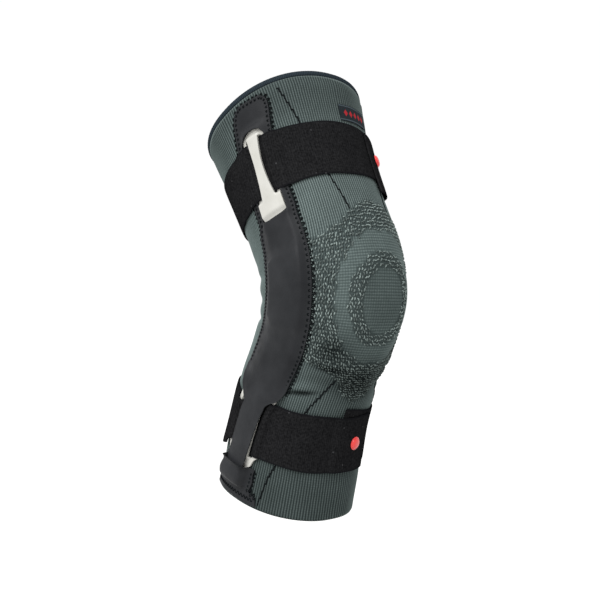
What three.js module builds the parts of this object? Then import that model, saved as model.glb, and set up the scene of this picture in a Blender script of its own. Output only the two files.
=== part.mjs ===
// A hinged knee support in its worn shape: a knitted sleeve with a leather pocket down each side, a
// hinged stay in each pocket, and two elastic straps threaded through the ends of the stays.
// Millimetres and degrees. +Z is up, -Y is the front of the knee and -X is the outer side of a right leg.
// The origin is the middle of the knee. A place on the sleeve is its distance along the leg from there,
// plus towards the thigh, and its angle round the leg, 0 at the front and 90 on the outer side.
import * as THREE from "three";

// The sleeve and the leg shape that it is knitted to
const THIGH_LENGTH = 154;
const SHIN_LENGTH = 183;
const SLEEVE_WALL = 2.6;
const THIGH_LEAN = 25.5;
const SHIN_LEAN = 21.2;
const BEND_LENGTH = 90;
const KNEE_SIDE = 56.5;
const KNEE_FRONT = 62.5;
const KNEE_BACK = 59.5;
const THIGH_SIDE = 67;
const THIGH_FRONT = 68.5;
const THIGH_BACK = 68;
const CALF_SIDE = 55;
const CALF_FRONT = 61;
const CALF_BACK = 56.5;
const SECTION_SQUARENESS = 0.92;
const TOP_SLANT = 7;
const TOP_SIDE_RISE = 3.5;
const BOTTOM_SLANT = 6;
const WELT_HEIGHT = 4.5;
const WELT_PROUD = 0.6;

// The cushion ring round the kneecap, and the folds that the bent knee makes
const RING_PLACE = -8;
const RING_HALF_WIDTH = 27;
const RING_HALF_HEIGHT = 23;
const RING_RISE = 1.8;
const RING_SOFTNESS = 0.3;
const BACK_FOLD_DEPTH = 2.6;
const BACK_FOLD_SPACING = 26;
const FOLD_SOFTNESS = 7;
const SHIN_CREASE_DEPTH = 2.2;
const SHIN_CREASE_PLACE = -66;
const SHIN_CREASE_ANGLE = 38;
const SHIN_CREASE_SPREAD = 34;

// What lies on the sleeve, and the gap that each layer keeps from the next
const LAYER_GAP = 0.4;
const STRAP_WIDTH = 47;
const STRAP_THICKNESS = 1.5;
const LEATHER_THICKNESS = 1.2;
const STAY_THICKNESS = 2.4;
const RAIL_THICKNESS = 2;

// Straps: how far their middles lie from the sleeve's rims at the outer side, and their studs
const THIGH_STRAP_DROP = 55;
const CALF_STRAP_RISE = 69;
const STRAP_STEP = 9.5;
const STRAP_ROWS = 3;
const STUD_RADIUS = 5.6;
const STUD_HEIGHT = 2.4;
const THIGH_STUD_INSET = 11;
const THIGH_STUD_RISE = 6;
const CALF_STUD_INSET = 16;

// Stays: a slotted plate at each end of two arms that meet at the hinge
const SLOT_EASE = 1.3;
const THIGH_BAR_HALF = 4.6;
const THIGH_SLOT_WIDTH = 3;
const THIGH_RAIL_WIDTH = 2.6;
const CALF_BAR_HALF = 10.2;
const CALF_SLOT_WIDTH = 3;
const CALF_RAIL_WIDTH = 3.8;
const THIGH_CROSS_LENGTH = 4.5;
const CALF_CROSS_LENGTH = 7;
const THIGH_BLOCK_LENGTH = 16;
const CALF_BLOCK_LENGTH = 4;
const CALF_TONGUE_LENGTH = 9;
const ARM_HALF = 8.5;
const HINGE_HALF_LENGTH = 23;
const HINGE_HALF_WIDTH = 13;
const HINGE_THICKNESS = 4;

// Pockets
const WINDOW_EASE = 0.7;
const POCKET_TOP_HALF = 17;
const POCKET_LOW_HALF = 23;
const POCKET_TOP_MARGIN = 5;
const SEAM_MARGIN = 3.5;
const STRIP_HALF = 8.4;
const STRIP_TAIL = 19;
const CAP_HALF = 17.5;
const CAP_SHOULDER = 13.5;
const CAP_LIP = 2.2;
const CAP_BELOW_STRAP = 10;
const PATCH_HALF = 26;
const PATCH_MARGIN = 2.5;
const PATCH_HEIGHT = 7;

// A plain woven label on the inner front of the thigh
const LABEL_WIDTH = 34;
const LABEL_HEIGHT = 14.5;
const LABEL_THICKNESS = 0.6;
const LABEL_ANGLE = -14;
const LABEL_ABOVE_STRAP = 4;

// Shape of the leg between the knee and the rims. at is a share of the thigh's or shin's length, and the
// others are shares of the straight taper from the knee's size to the rim's.
const LIMB_SHAPE = [
  { at: -1, side: 1, front: 1, back: 1 },
  { at: -0.82, side: 0.99, front: 0.9, back: 1.06 },
  { at: -0.55, side: 0.965, front: 0.74, back: 1.16 },
  { at: -0.27, side: 0.93, front: 0.82, back: 1.08 },
  { at: 0, side: 1, front: 1, back: 1 },
  { at: 0.32, side: 0.935, front: 0.925, back: 0.96 },
  { at: 0.65, side: 0.94, front: 0.905, back: 0.97 },
  { at: 0.93, side: 0.985, front: 0.975, back: 0.985 },
  { at: 1, side: 1, front: 1, back: 1 },
];

// The line that a stay follows down the outer side. at is a share as above, angle is in degrees.
const STAY_LINE = [
  { at: -1, angle: 98.5 },
  { at: -0.6, angle: 97 },
  { at: -0.48, angle: 93 },
  { at: -0.35, angle: 88.5 },
  { at: -0.2, angle: 85.5 },
  { at: 0.1, angle: 81 },
  { at: 0.36, angle: 80 },
  { at: 0.62, angle: 78.5 },
  { at: 0.8, angle: 75 },
  { at: 1, angle: 68 },
];

// Half width of the bar between the slots of a thigh plate, from the knee end up, as a share of its size
const THIGH_BAR_SHAPE = [
  { at: 0, width: 1.25 },
  { at: 0.25, width: 0.92 },
  { at: 0.6, width: 0.76 },
  { at: 1, width: 1.06 },
];
const CALF_BAR_SHAPE = [
  { at: 0, width: 1 },
  { at: 1, width: 1 },
];

// A strap's way round the leg, from the end that lies beneath to the loose end on top. at is the angle,
// rise is how far the strap's middle is moved up the leg, and width is a share of the strap's.
const THIGH_STRAP_WAY = [
  { at: -46, rise: -6, width: 1 },
  { at: 0, rise: -2.5, width: 1 },
  { at: 79, rise: 0, width: 1 },
  { at: 122, rise: -3.5, width: 0.95 },
  { at: 180, rise: -6, width: 1 },
  { at: 262, rise: -8.5, width: 1 },
  { at: 292, rise: -9, width: 1 },
  { at: 315, rise: -11.5, width: 1.06 },
  { at: 340, rise: -11.5, width: 1.2 },
];
const CALF_STRAP_WAY = [
  { at: -5, rise: 8, width: 1 },
  { at: 40, rise: 2.5, width: 1 },
  { at: 78, rise: -2.4, width: 1 },
  { at: 112, rise: -3.2, width: 1 },
  { at: 180, rise: -9, width: 1 },
  { at: 232, rise: -7.5, width: 1 },
  { at: 246, rise: -3.2, width: 1 },
  { at: 264, rise: -2, width: 1 },
  { at: 330, rise: 0.5, width: 1 },
  { at: 387, rise: 1, width: 1 },
];

const rad = THREE.MathUtils.degToRad;
const deg = THREE.MathUtils.radToDeg;
const lerp = THREE.MathUtils.lerp;
const clamp = THREE.MathUtils.clamp;

// The value of one column of a table at a share, on a smooth curve through its rows.
function tableValue(table, column, share) {
  const at = clamp(share, table[0].at, table[table.length - 1].at);
  let k = 0;
  while (k < table.length - 2 && at > table[k + 1].at) k += 1;
  const slope = (i) => {
    const before = table[Math.max(i - 1, 0)];
    const after = table[Math.min(i + 1, table.length - 1)];
    return (after[column] - before[column]) / (after.at - before.at);
  };
  const step = table[k + 1].at - table[k].at;
  const t = (at - table[k].at) / step;
  const rise = t * t * (3 - 2 * t);
  return (
    table[k][column] * (1 - rise) +
    table[k + 1][column] * rise +
    slope(k) * step * t * (1 - t) * (1 - t) -
    slope(k + 1) * step * t * t * (1 - t)
  );
}

const limbShare = (place) => place / (place >= 0 ? THIGH_LENGTH : SHIN_LENGTH);

// The leg's middle line: straight along the shin, an arc through the knee, straight along the thigh.
function legAxis(place) {
  const low = -rad(SHIN_LEAN);
  const turn = rad(THIGH_LEAN + SHIN_LEAN);
  const radius = BEND_LENGTH / turn;
  const leanAt = (s) => low + turn * clamp(s / BEND_LENGTH + 0.5, 0, 1);
  const inBend = clamp(place, -BEND_LENGTH / 2, BEND_LENGTH / 2);
  const lean = leanAt(place);
  const beyond = place - inBend;
  return {
    lean,
    y: radius * (Math.cos(leanAt(0)) - Math.cos(lean)) + beyond * Math.sin(lean),
    z: radius * (Math.sin(lean) - Math.sin(leanAt(0))) + beyond * Math.cos(lean),
  };
}

const KNEE_SIZE = { side: KNEE_SIDE, front: KNEE_FRONT, back: KNEE_BACK };
const THIGH_SIZE = { side: THIGH_SIDE, front: THIGH_FRONT, back: THIGH_BACK };
const CALF_SIZE = { side: CALF_SIDE, front: CALF_FRONT, back: CALF_BACK };

function limbSize(place, column) {
  const share = limbShare(place);
  const rim = place >= 0 ? THIGH_SIZE : CALF_SIZE;
  const plain = lerp(KNEE_SIZE[column], rim[column], Math.abs(share));
  return plain * tableValue(LIMB_SHAPE, column, share);
}

// A point that stands lift above the sleeve's outer face.
function skinPoint(place, angle, lift) {
  const axis = legAxis(place);
  const across = Math.sin(rad(angle));
  const forward = Math.cos(rad(angle));
  const side = limbSize(place, "side") + lift;
  const depth = limbSize(place, forward >= 0 ? "front" : "back") + lift;
  const squared = (v) => Math.sign(v) * Math.abs(v) ** SECTION_SQUARENESS;
  const out = depth * squared(forward);
  return new THREE.Vector3(
    -side * squared(across),
    axis.y - out * Math.cos(axis.lean),
    axis.z + out * Math.sin(axis.lean),
  );
}

// Millimetres round the sleeve turned to degrees there.
const widthToAngle = (place, width) => deg(width / limbSize(place, "side"));

const stayAngle = (place) => tableValue(STAY_LINE, "angle", limbShare(place));

// A closed solid between two lifts over a grid of places and angles. at(row, column) gives a grid point's
// place, angle, low and high, cut(row, column) is true for a cell that is left out, and a closed grid
// joins its last column to its first.
function sheetSolid(rows, columns, at, cut = () => false, closed = false) {
  const lines = closed ? columns : columns + 1;
  const positions = [];
  for (let i = 0; i <= rows; i += 1) {
    for (let j = 0; j < lines; j += 1) {
      const { place, angle, low, high } = at(i, j);
      positions.push(...skinPoint(place, angle, low).toArray());
      positions.push(...skinPoint(place, angle, high).toArray());
    }
  }
  const inner = (i, j) => 2 * (i * lines + (j % lines));
  const outer = (i, j) => inner(i, j) + 1;
  const present = (i, j) => {
    const k = closed ? (j + columns) % columns : j;
    return i >= 0 && i < rows && k >= 0 && k < columns && !cut(i, k);
  };
  const faces = [];
  const quad = (a, b, c, d) => faces.push(a, b, c, a, c, d);
  for (let i = 0; i < rows; i += 1) {
    for (let j = 0; j < columns; j += 1) {
      if (!present(i, j)) continue;
      const [p, q, r, s] = [[i, j], [i + 1, j], [i + 1, j + 1], [i, j + 1]];
      quad(outer(...p), outer(...q), outer(...r), outer(...s));
      quad(inner(...p), inner(...s), inner(...r), inner(...q));
      const wall = (a, b) => quad(inner(...a), inner(...b), outer(...b), outer(...a));
      if (!present(i, j - 1)) wall(p, q);
      if (!present(i + 1, j)) wall(q, r);
      if (!present(i, j + 1)) wall(r, s);
      if (!present(i - 1, j)) wall(s, p);
    }
  }
  const used = [...new Set(faces)].sort((a, b) => a - b);
  const renumbered = new Map(used.map((old, now) => [old, now]));
  const geometry = new THREE.BufferGeometry();
  const kept = used.flatMap((v) => positions.slice(3 * v, 3 * v + 3));
  geometry.setAttribute("position", new THREE.Float32BufferAttribute(kept, 3));
  geometry.setIndex(faces.map((v) => renumbered.get(v)));
  geometry.computeVertexNormals();
  return geometry;
}

// Places from first to last with about one step between them, both ends included.
function evenPlaces(first, last, step) {
  const count = Math.max(1, Math.round(Math.abs(last - first) / step));
  return Array.from({ length: count + 1 }, (_, i) => lerp(first, last, i / count));
}

const KNIT = new THREE.MeshStandardMaterial({ color: 0x46504f, roughness: 0.95, metalness: 0 });
const WELT = new THREE.MeshStandardMaterial({ color: 0x363c42, roughness: 0.85, metalness: 0 });
const LEATHER = new THREE.MeshStandardMaterial({ color: 0x393a3e, roughness: 0.55, metalness: 0 });
const WEBBING = new THREE.MeshStandardMaterial({ color: 0x17171a, roughness: 0.9, metalness: 0 });
const STAY_PLASTIC = new THREE.MeshStandardMaterial({ color: 0xe6e4dd, roughness: 0.4, metalness: 0 });
const HINGE_STEEL = new THREE.MeshStandardMaterial({ color: 0x9a9da0, roughness: 0.35, metalness: 0.9 });
const STUD_RED = new THREE.MeshStandardMaterial({ color: 0xd02a26, roughness: 0.3, metalness: 0 });
const LABEL_CLOTH = new THREE.MeshStandardMaterial({ color: 0x333b3b, roughness: 0.9, metalness: 0 });

function named(name, geometry, material) {
  const mesh = new THREE.Mesh(geometry, material);
  mesh.name = name;
  return mesh;
}

// Rim slant: how far a row is moved along the leg, most at the rims, so that the front stands higher and
// so does the outer side of the top rim.
function slant(place, angle) {
  const share = limbShare(place);
  const forward = (place >= 0 ? TOP_SLANT : BOTTOM_SLANT) * Math.cos(rad(angle));
  const outward = (place >= 0 ? TOP_SIDE_RISE : 0) * Math.sin(rad(angle));
  return Math.abs(share) ** 3 * (forward + outward);
}

const bell = (distance) => Math.exp(-distance * distance);

// How far the knit stands off the plain leg shape: the ring round the kneecap and the folds.
function relief(place, angle) {
  const turned = ((angle + 540) % 360) - 180;
  const round = rad(turned) * limbSize(place, "side");
  const fromRing = Math.hypot(round / RING_HALF_WIDTH, (place - RING_PLACE) / RING_HALF_HEIGHT);
  const ring = RING_RISE * bell((fromRing - 1) / RING_SOFTNESS);
  const behind = Math.max(0, -Math.cos(rad(angle))) ** 1.5;
  const folds = [-1, 0, 1]
    .map((k) => bell((place - RING_PLACE - k * BACK_FOLD_SPACING) / FOLD_SOFTNESS))
    .reduce((sum, depth) => sum + depth, 0);
  const creaseTurn = (Math.abs(turned) - SHIN_CREASE_ANGLE) / SHIN_CREASE_SPREAD;
  const crease = bell(creaseTurn) * bell((place - SHIN_CREASE_PLACE) / FOLD_SOFTNESS);
  return ring - BACK_FOLD_DEPTH * behind * folds - SHIN_CREASE_DEPTH * crease;
}

const SLEEVE_STEP = 12.5;
const SLEEVE_COLUMNS = 42;

function sleeve() {
  const places = evenPlaces(-SHIN_LENGTH, THIGH_LENGTH, SLEEVE_STEP);
  const geometry = sheetSolid(
    places.length - 1,
    SLEEVE_COLUMNS,
    (i, j) => {
      const angle = (360 * j) / SLEEVE_COLUMNS;
      const place = places[i] + slant(places[i], angle);
      const high = relief(place, angle);
      return { place, angle, low: high - SLEEVE_WALL, high };
    },
    () => false,
    true,
  );
  return named("knit_sleeve", geometry, KNIT);
}

function welt() {
  const geometry = sheetSolid(
    1,
    SLEEVE_COLUMNS,
    (i, j) => {
      const angle = (360 * j) / SLEEVE_COLUMNS;
      const rim = THIGH_LENGTH + slant(THIGH_LENGTH, angle);
      const place = rim + LAYER_GAP + i * WELT_HEIGHT;
      return { place, angle, low: -SLEEVE_WALL, high: WELT_PROUD };
    },
    () => false,
    true,
  );
  return named("top_welt", geometry, WELT);
}

// Where the straps lie, and the ends of the slots that they pass through
const THIGH_STRAP_PLACE = THIGH_LENGTH - THIGH_STRAP_DROP;
const CALF_STRAP_PLACE = CALF_STRAP_RISE - SHIN_LENGTH;
const SLOT_HALF = STRAP_WIDTH / 2 + SLOT_EASE;

// How a slotted plate is stacked: the strap runs under the bar and over the rails.
const UNDER_BAR = LAYER_GAP + STRAP_THICKNESS + LAYER_GAP;
const BAR_TOP = UNDER_BAR + STAY_THICKNESS;
const RAIL_TOP = LAYER_GAP + RAIL_THICKNESS;
const OVER_RAIL = RAIL_TOP + LAYER_GAP;
const ARM_TOP = LAYER_GAP + STAY_THICKNESS;
const HINGE_TOP = LAYER_GAP + HINGE_THICKNESS;
const OVER_SEAM = LAYER_GAP + LEATHER_THICKNESS + LAYER_GAP;

const THIGH_PLATE = {
  flare: THIGH_BAR_SHAPE[0].width,
  bar: THIGH_BAR_HALF,
  slot: THIGH_BAR_HALF + THIGH_SLOT_WIDTH,
  edge: THIGH_BAR_HALF + THIGH_SLOT_WIDTH + THIGH_RAIL_WIDTH,
};
const CALF_PLATE = {
  flare: CALF_BAR_SHAPE[0].width,
  bar: CALF_BAR_HALF,
  slot: CALF_BAR_HALF + CALF_SLOT_WIDTH,
  edge: CALF_BAR_HALF + CALF_SLOT_WIDTH + CALF_RAIL_WIDTH,
};
const WINDOW_HALF = THIGH_PLATE.edge + WINDOW_EASE;

// The lift of a strap at a distance from a stay's line. Beyond the rail it comes down to the sleeve,
// over the pocket's seam where there is one.
function crossingProfile(plate, seamEdge) {
  const profile = [
    { width: 0, lift: LAYER_GAP },
    { width: plate.bar / 2, lift: LAYER_GAP },
    { width: plate.bar * plate.flare + 0.3, lift: LAYER_GAP },
    { width: plate.slot - 0.1, lift: OVER_RAIL },
    { width: plate.edge + LAYER_GAP, lift: OVER_RAIL },
  ];
  const last = seamEdge > plate.edge ? seamEdge + LAYER_GAP : plate.edge + LAYER_GAP;
  if (seamEdge > plate.edge) profile.push({ width: last, lift: OVER_SEAM });
  profile.push({ width: last + 3, lift: LAYER_GAP });
  return profile;
}

// The lift at a distance from the stay's line, on straight runs between the profile's corners.
function profileLift(profile, width) {
  const distance = Math.abs(width);
  const next = profile.findIndex((corner) => corner.width >= distance);
  if (next < 0) return LAYER_GAP;
  if (next === 0) return profile[0].lift;
  const [a, b] = [profile[next - 1], profile[next]];
  return lerp(a.lift, b.lift, (distance - a.width) / (b.width - a.width));
}

// How far round the leg a strap's crossing with a stay follows the stay's own line
const CROSSING_FADE = 18;

// A strap once round the leg, with its loose end over its start. It follows each stay's line where it
// crosses the stay, so that it passes through the slots squarely.
function strap(name, { place, way, plate, seamEdge }) {
  const [start, end] = [way[0].at, way[way.length - 1].at];
  const profile = crossingProfile(plate, seamEdge);
  const line = (k, at) => 360 * Math.ceil(k / 2) + (k % 2 ? -1 : 1) * stayAngle(at);
  const middle = (angle) => place + tableValue(way, "rise", angle);
  const crossings = [0, 1, 2].map((k) => ({ k, angle: line(k, middle(line(k, place))) }));
  const reach = profile[profile.length - 1].width;
  const knots = crossings
    .flatMap(({ angle }) => profile.flatMap(({ width }) => [-width, width].map((w) => angle + widthToAngle(place, w))))
    .filter((angle) => angle > start && angle < end);
  const even = evenPlaces(start, end, STRAP_STEP).filter((angle) =>
    crossings.every((crossing) => Math.abs(angle - crossing.angle) > widthToAngle(place, reach) + 1),
  );
  const top = start + 360;
  const ramp = [top - 8, top - 2];
  const angles = [...new Set([start, ...knots, ...even, ...ramp, end])]
    .sort((a, b) => a - b)
    .filter((angle, i, all) => i === 0 || angle - all[i - 1] > 0.6 || angle === end);
  const over = (angle) => clamp((angle - ramp[0]) / (ramp[1] - ramp[0]), 0, 1) * (STRAP_THICKNESS + LAYER_GAP);
  const geometry = sheetSolid(STRAP_ROWS, angles.length - 1, (i, j) => {
    const angle = angles[j];
    const band = STRAP_WIDTH * tableValue(way, "width", angle);
    const at = middle(angle) + band * (i / STRAP_ROWS - 0.5);
    const near = crossings.reduce((a, b) => (Math.abs(b.angle - angle) < Math.abs(a.angle - angle) ? b : a));
    const width = rad(angle - near.angle) * limbSize(place, "side");
    const follow = 1 - clamp((Math.abs(width) - reach) / CROSSING_FADE, 0, 1);
    const across = lerp(angle, line(near.k, at) + widthToAngle(at, width), follow);
    const low = profileLift(profile, width) + over(angle);
    return { place: at, angle: across, low, high: low + STRAP_THICKNESS };
  });
  return named(name, geometry, WEBBING);
}

const THIGH_STRAP = {
  place: THIGH_STRAP_PLACE,
  way: THIGH_STRAP_WAY,
  plate: THIGH_PLATE,
  seamEdge: POCKET_TOP_HALF * 1.04,
  inset: THIGH_STUD_INSET,
  studRise: THIGH_STUD_RISE,
};
const CALF_STRAP = {
  place: CALF_STRAP_PLACE,
  way: CALF_STRAP_WAY,
  plate: CALF_PLATE,
  seamEdge: 0,
  inset: CALF_STUD_INSET,
  studRise: 0,
};

// Where a strap's middle lies as it crosses the stay on the outer or the inner side.
function strapAt({ place, way }, angle) {
  return place + tableValue(way, "rise", angle);
}

// A domed stud on a strap's loose end.
function stud(name, { place, way, inset, studRise }) {
  const angle = way[way.length - 1].at - widthToAngle(place, inset);
  const at = place + tableValue(way, "rise", angle) + studRise;
  const seat = STRAP_THICKNESS * 2 + LAYER_GAP * 3;
  const base = skinPoint(at, angle, seat);
  const along = skinPoint(at + 3, angle, seat).sub(skinPoint(at - 3, angle, seat));
  const around = skinPoint(at, angle + 3, seat).sub(skinPoint(at, angle - 3, seat));
  const outward = along.cross(around).normalize();
  const profile = [
    new THREE.Vector2(0, 0),
    new THREE.Vector2(STUD_RADIUS, 0),
    new THREE.Vector2(STUD_RADIUS, STUD_HEIGHT * 0.35),
    new THREE.Vector2(STUD_RADIUS * 0.8, STUD_HEIGHT * 0.8),
    new THREE.Vector2(STUD_RADIUS * 0.4, STUD_HEIGHT),
    new THREE.Vector2(0, STUD_HEIGHT),
  ];
  const mesh = named(name, new THREE.LatheGeometry(profile, 16), STUD_RED);
  mesh.quaternion.setFromUnitVectors(new THREE.Vector3(0, 1, 0), outward);
  mesh.position.copy(base);
  return mesh;
}

// A stay's solid from its rows. Each row has a place and, for each line across, a width, low and high.
function staySolid(name, rows, cut, material) {
  const lines = rows[0].across.length;
  const geometry = sheetSolid(
    rows.length - 1,
    lines - 1,
    (i, j) => {
      const { place, across } = rows[i];
      const { width, low, high } = across[j];
      return { place, angle: stayAngle(place) + widthToAngle(place, width), low, high };
    },
    cut,
  );
  return named(name, geometry, material);
}

// The seven lines across a slotted plate: its edges, its slots' edges and its middle. narrowing is the
// share of its full width, and neck the bar's.
function plateAcross(plate, narrowing, neck, bar, rail) {
  const half = [
    { width: plate.edge * narrowing, ...rail },
    { width: plate.slot * narrowing, ...rail },
    { width: plate.bar * narrowing * neck, ...bar },
  ];
  const mirrored = half.map((point) => ({ ...point, width: -point.width }));
  return [...mirrored, { width: 0, ...bar }, ...half.reverse()];
}

const SLOT_COLUMNS = [1, 4];
const ARM_STEP = 10;
const SLOT_STEP = 13;
const SHOULDER_LENGTH = 9;

// The rows of a slotted plate and its arm, from the hinge outwards. direction is 1 up the thigh and -1
// down the shin. The block joins the bar to the rails on the knee side of the slots, and the cross member
// on the far side. A tongue runs on from the cross member. A flush block is as thick as the bar.
function plateRows({ plate, barShape, blockLength, crossLength, tongueLength, flush }, strapPlace, direction) {
  const solid = { low: LAYER_GAP, high: BAR_TOP };
  const low = { low: LAYER_GAP, high: RAIL_TOP };
  const arm = { low: LAYER_GAP, high: ARM_TOP };
  const bridge = { low: UNDER_BAR, high: BAR_TOP };
  const slotStart = strapPlace - direction * SLOT_HALF;
  const slotEnd = strapPlace + direction * SLOT_HALF;
  const armShare = ARM_HALF / plate.edge;
  const armStart = direction * (HINGE_HALF_LENGTH + LAYER_GAP);
  const armEnd = slotStart - direction * (blockLength + SHOULDER_LENGTH);
  const neck = (t) => tableValue(barShape, "width", t);
  const row = (place, narrowing, bar, rail, t) => ({
    place,
    across: plateAcross(plate, narrowing, neck(t), bar, rail),
  });
  const armRows = evenPlaces(armStart, armEnd, ARM_STEP).map((place) => row(place, armShare, arm, arm, 0));
  const slotRows = evenPlaces(0, 1, SLOT_STEP / (2 * SLOT_HALF)).map((t) => ({
    ...row(lerp(slotStart, slotEnd, t), 1, bridge, low, t),
    slot: true,
  }));
  const past = (distance) => slotEnd + direction * distance;
  return [
    ...armRows,
    row(slotStart - direction * (blockLength + SHOULDER_LENGTH / 2), (armShare + 1) / 2, arm, arm, 0),
    row(slotStart - direction * blockLength, 1, arm, flush ? arm : low, 0),
    ...(flush ? [row(slotStart - direction * (blockLength - 3), 1, solid, solid, 0)] : []),
    row(slotStart - direction * 2, 1, solid, flush ? solid : low, 0),
    ...slotRows,
    row(past(2), 0.99, solid, low, 1),
    row(past(crossLength * 0.7), 0.93, arm, low, 1),
    row(past(crossLength), 0.78, arm, low, 1),
    row(past(crossLength + 2.5), 0.5, arm, low, 1),
    ...(tongueLength ? [row(past(crossLength + tongueLength), 0.42, arm, low, 1)] : []),
  ];
}

const THIGH_STAY = {
  plate: THIGH_PLATE,
  barShape: THIGH_BAR_SHAPE,
  blockLength: THIGH_BLOCK_LENGTH,
  crossLength: THIGH_CROSS_LENGTH,
  tongueLength: 0,
  flush: true,
};
const CALF_STAY = {
  plate: CALF_PLATE,
  barShape: CALF_BAR_SHAPE,
  blockLength: CALF_BLOCK_LENGTH,
  crossLength: CALF_CROSS_LENGTH,
  tongueLength: CALF_TONGUE_LENGTH,
  flush: false,
};

function stay(name, rows) {
  const ordered = rows[0].place < rows[rows.length - 1].place ? rows : [...rows].reverse();
  const inSlot = (i, j) => ordered[i].slot && ordered[i + 1].slot && SLOT_COLUMNS.includes(j);
  return staySolid(name, ordered, inSlot, STAY_PLASTIC);
}

// The hinge between the arms, hidden in the pocket and left plain.
function hinge(side) {
  const shares = [-1, -0.8, -0.4, 0, 0.4, 0.8, 1];
  const rows = shares.map((share) => {
    const half = HINGE_HALF_WIDTH * (1 - 0.45 * Math.abs(share) ** 3);
    const across = [-1, -0.5, 0, 0.5, 1].map((t) => ({ width: t * half, low: LAYER_GAP, high: HINGE_TOP }));
    return { place: share * HINGE_HALF_LENGTH, across };
  });
  return staySolid(`${side}_hinge`, rows, () => false, HINGE_STEEL);
}

// The rows of a pocket from the top down, for straps that cross the stay at these places. half is the
// leather's half width, window the half width of the opening or the raised middle, rise the lift of the
// leather there and rim its lift at the sewn edge.
function pocketRows(side, thighPlace, calfPlace) {
  const flat = LAYER_GAP;
  const overArm = ARM_TOP + LAYER_GAP;
  const overHinge = HINGE_TOP + LAYER_GAP * 2;
  const overBar = BAR_TOP + LAYER_GAP;
  const overRail = RAIL_TOP + LAYER_GAP;
  const top = POCKET_TOP_HALF;
  const low = POCKET_LOW_HALF;
  const windowTop = thighPlace + SLOT_HALF + THIGH_CROSS_LENGTH;
  const windowBottom = thighPlace - SLOT_HALF - THIGH_BLOCK_LENGTH;
  const rimAngle = stayAngle(THIGH_LENGTH) * (side === "outer" ? 1 : -1);
  const pocketTop = THIGH_LENGTH + slant(THIGH_LENGTH, rimAngle) - POCKET_TOP_MARGIN;
  const slotTop = calfPlace + SLOT_HALF;
  const stripBottom = calfPlace - SLOT_HALF - STRIP_TAIL;
  const hingeEnd = HINGE_HALF_LENGTH + 1.5;
  const open = (place, share, rise = flat) => ({ place, half: top, window: WINDOW_HALF * share, rise, rim: flat, open: true });
  const covered = (place, half, rise, rim = flat) => ({ place, half, window: Math.min(WINDOW_HALF, half - 2), rise, rim });
  const strip = (place, share) => ({ place, half: STRIP_HALF * share, window: STRIP_HALF * 0.55, rise: overBar, rim: overBar });
  const hingeRows = [1, 0.6, 0.2, -0.2, -0.6, -1].map((t) => {
    const half = lerp(top * 1.12, low, clamp((1 - t) / 1.9, 0, 1));
    const window = Math.min(HINGE_HALF_WIDTH + 1, half - SEAM_MARGIN - 1);
    return { ...covered(t * hingeEnd, half, overHinge), window };
  });
  return [
    covered(pocketTop, top * 0.55, flat),
    covered(pocketTop - 2, top * 0.78, flat),
    covered(pocketTop - 5, top * 0.92, flat),
    covered(pocketTop - 11, top, flat),
    { ...covered(windowTop + 8, top, flat), window: WINDOW_HALF * 0.5 },
    { ...covered(windowTop + 4, top, overArm), window: WINDOW_HALF * 0.5 },
    { ...covered(windowTop, top, overBar * 0.9), window: WINDOW_HALF * 0.5 },
    open(windowTop - 2, 0.84, overRail + 0.3),
    open(windowTop - 3.2, 1, overRail * 0.9),
    open(windowTop - 5, 1),
    open(lerp(windowTop, windowBottom, 0.45), 1),
    open(lerp(windowTop, windowBottom, 0.7), 1),
    open(windowBottom + 2, 1, overRail),
    open(windowBottom, 0.96, overArm),
    covered(windowBottom - 7, top * 1.05, overArm),
    covered(lerp(windowBottom, hingeEnd, 0.6), top * 1.08, overArm),
    ...hingeRows,
    covered(-hingeEnd - 9, low * 1.01, overArm),
    covered(-hingeEnd - 20, low * 1.02, overArm),
    covered(slotTop + CALF_BLOCK_LENGTH + 19, low * 1.02, overArm),
    covered(slotTop + CALF_BLOCK_LENGTH + 10, low * 0.97, overArm, overArm * 0.5),
    covered(slotTop + CALF_BLOCK_LENGTH + 4, low * 0.82, overArm * 1.1, overArm),
    covered(slotTop + CALF_BLOCK_LENGTH - 2, low * 0.62, overBar, overBar * 0.9),
    covered(slotTop - 3, low * 0.46, overBar, overBar),
    strip(slotTop - 8, 1),
    strip(lerp(slotTop, stripBottom, 0.4), 1),
    strip(lerp(slotTop, stripBottom, 0.7), 1),
    strip(stripBottom, 0.92),
  ];
}

// The leather cover of one stay: sewn flat along its edges, raised over the stay, cut open for the thigh
// strap and narrowed to a strip between the slots of the calf strap.
function pocket(side, thighPlace, calfPlace) {
  const rows = pocketRows(side, thighPlace, calfPlace).reverse();
  const geometry = sheetSolid(
    rows.length - 1,
    6,
    (i, j) => {
      const row = rows[i];
      const seam = Math.max(row.half - SEAM_MARGIN, lerp(row.window, row.half, 0.4));
      const widths = [row.half, seam, row.window, 0];
      const line = j <= 3 ? j : 6 - j;
      const width = widths[line] * (j <= 3 ? -1 : 1);
      const low = line <= 1 ? row.rim : row.rise;
      const angle = stayAngle(row.place) + widthToAngle(row.place, width);
      return { place: row.place, angle, low, high: low + LEATHER_THICKNESS };
    },
    (i, j) => (rows[i].open || rows[i + 1].open) && (j === 2 || j === 3),
  );
  return named(`${side}_pocket`, geometry, LEATHER);
}

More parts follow.
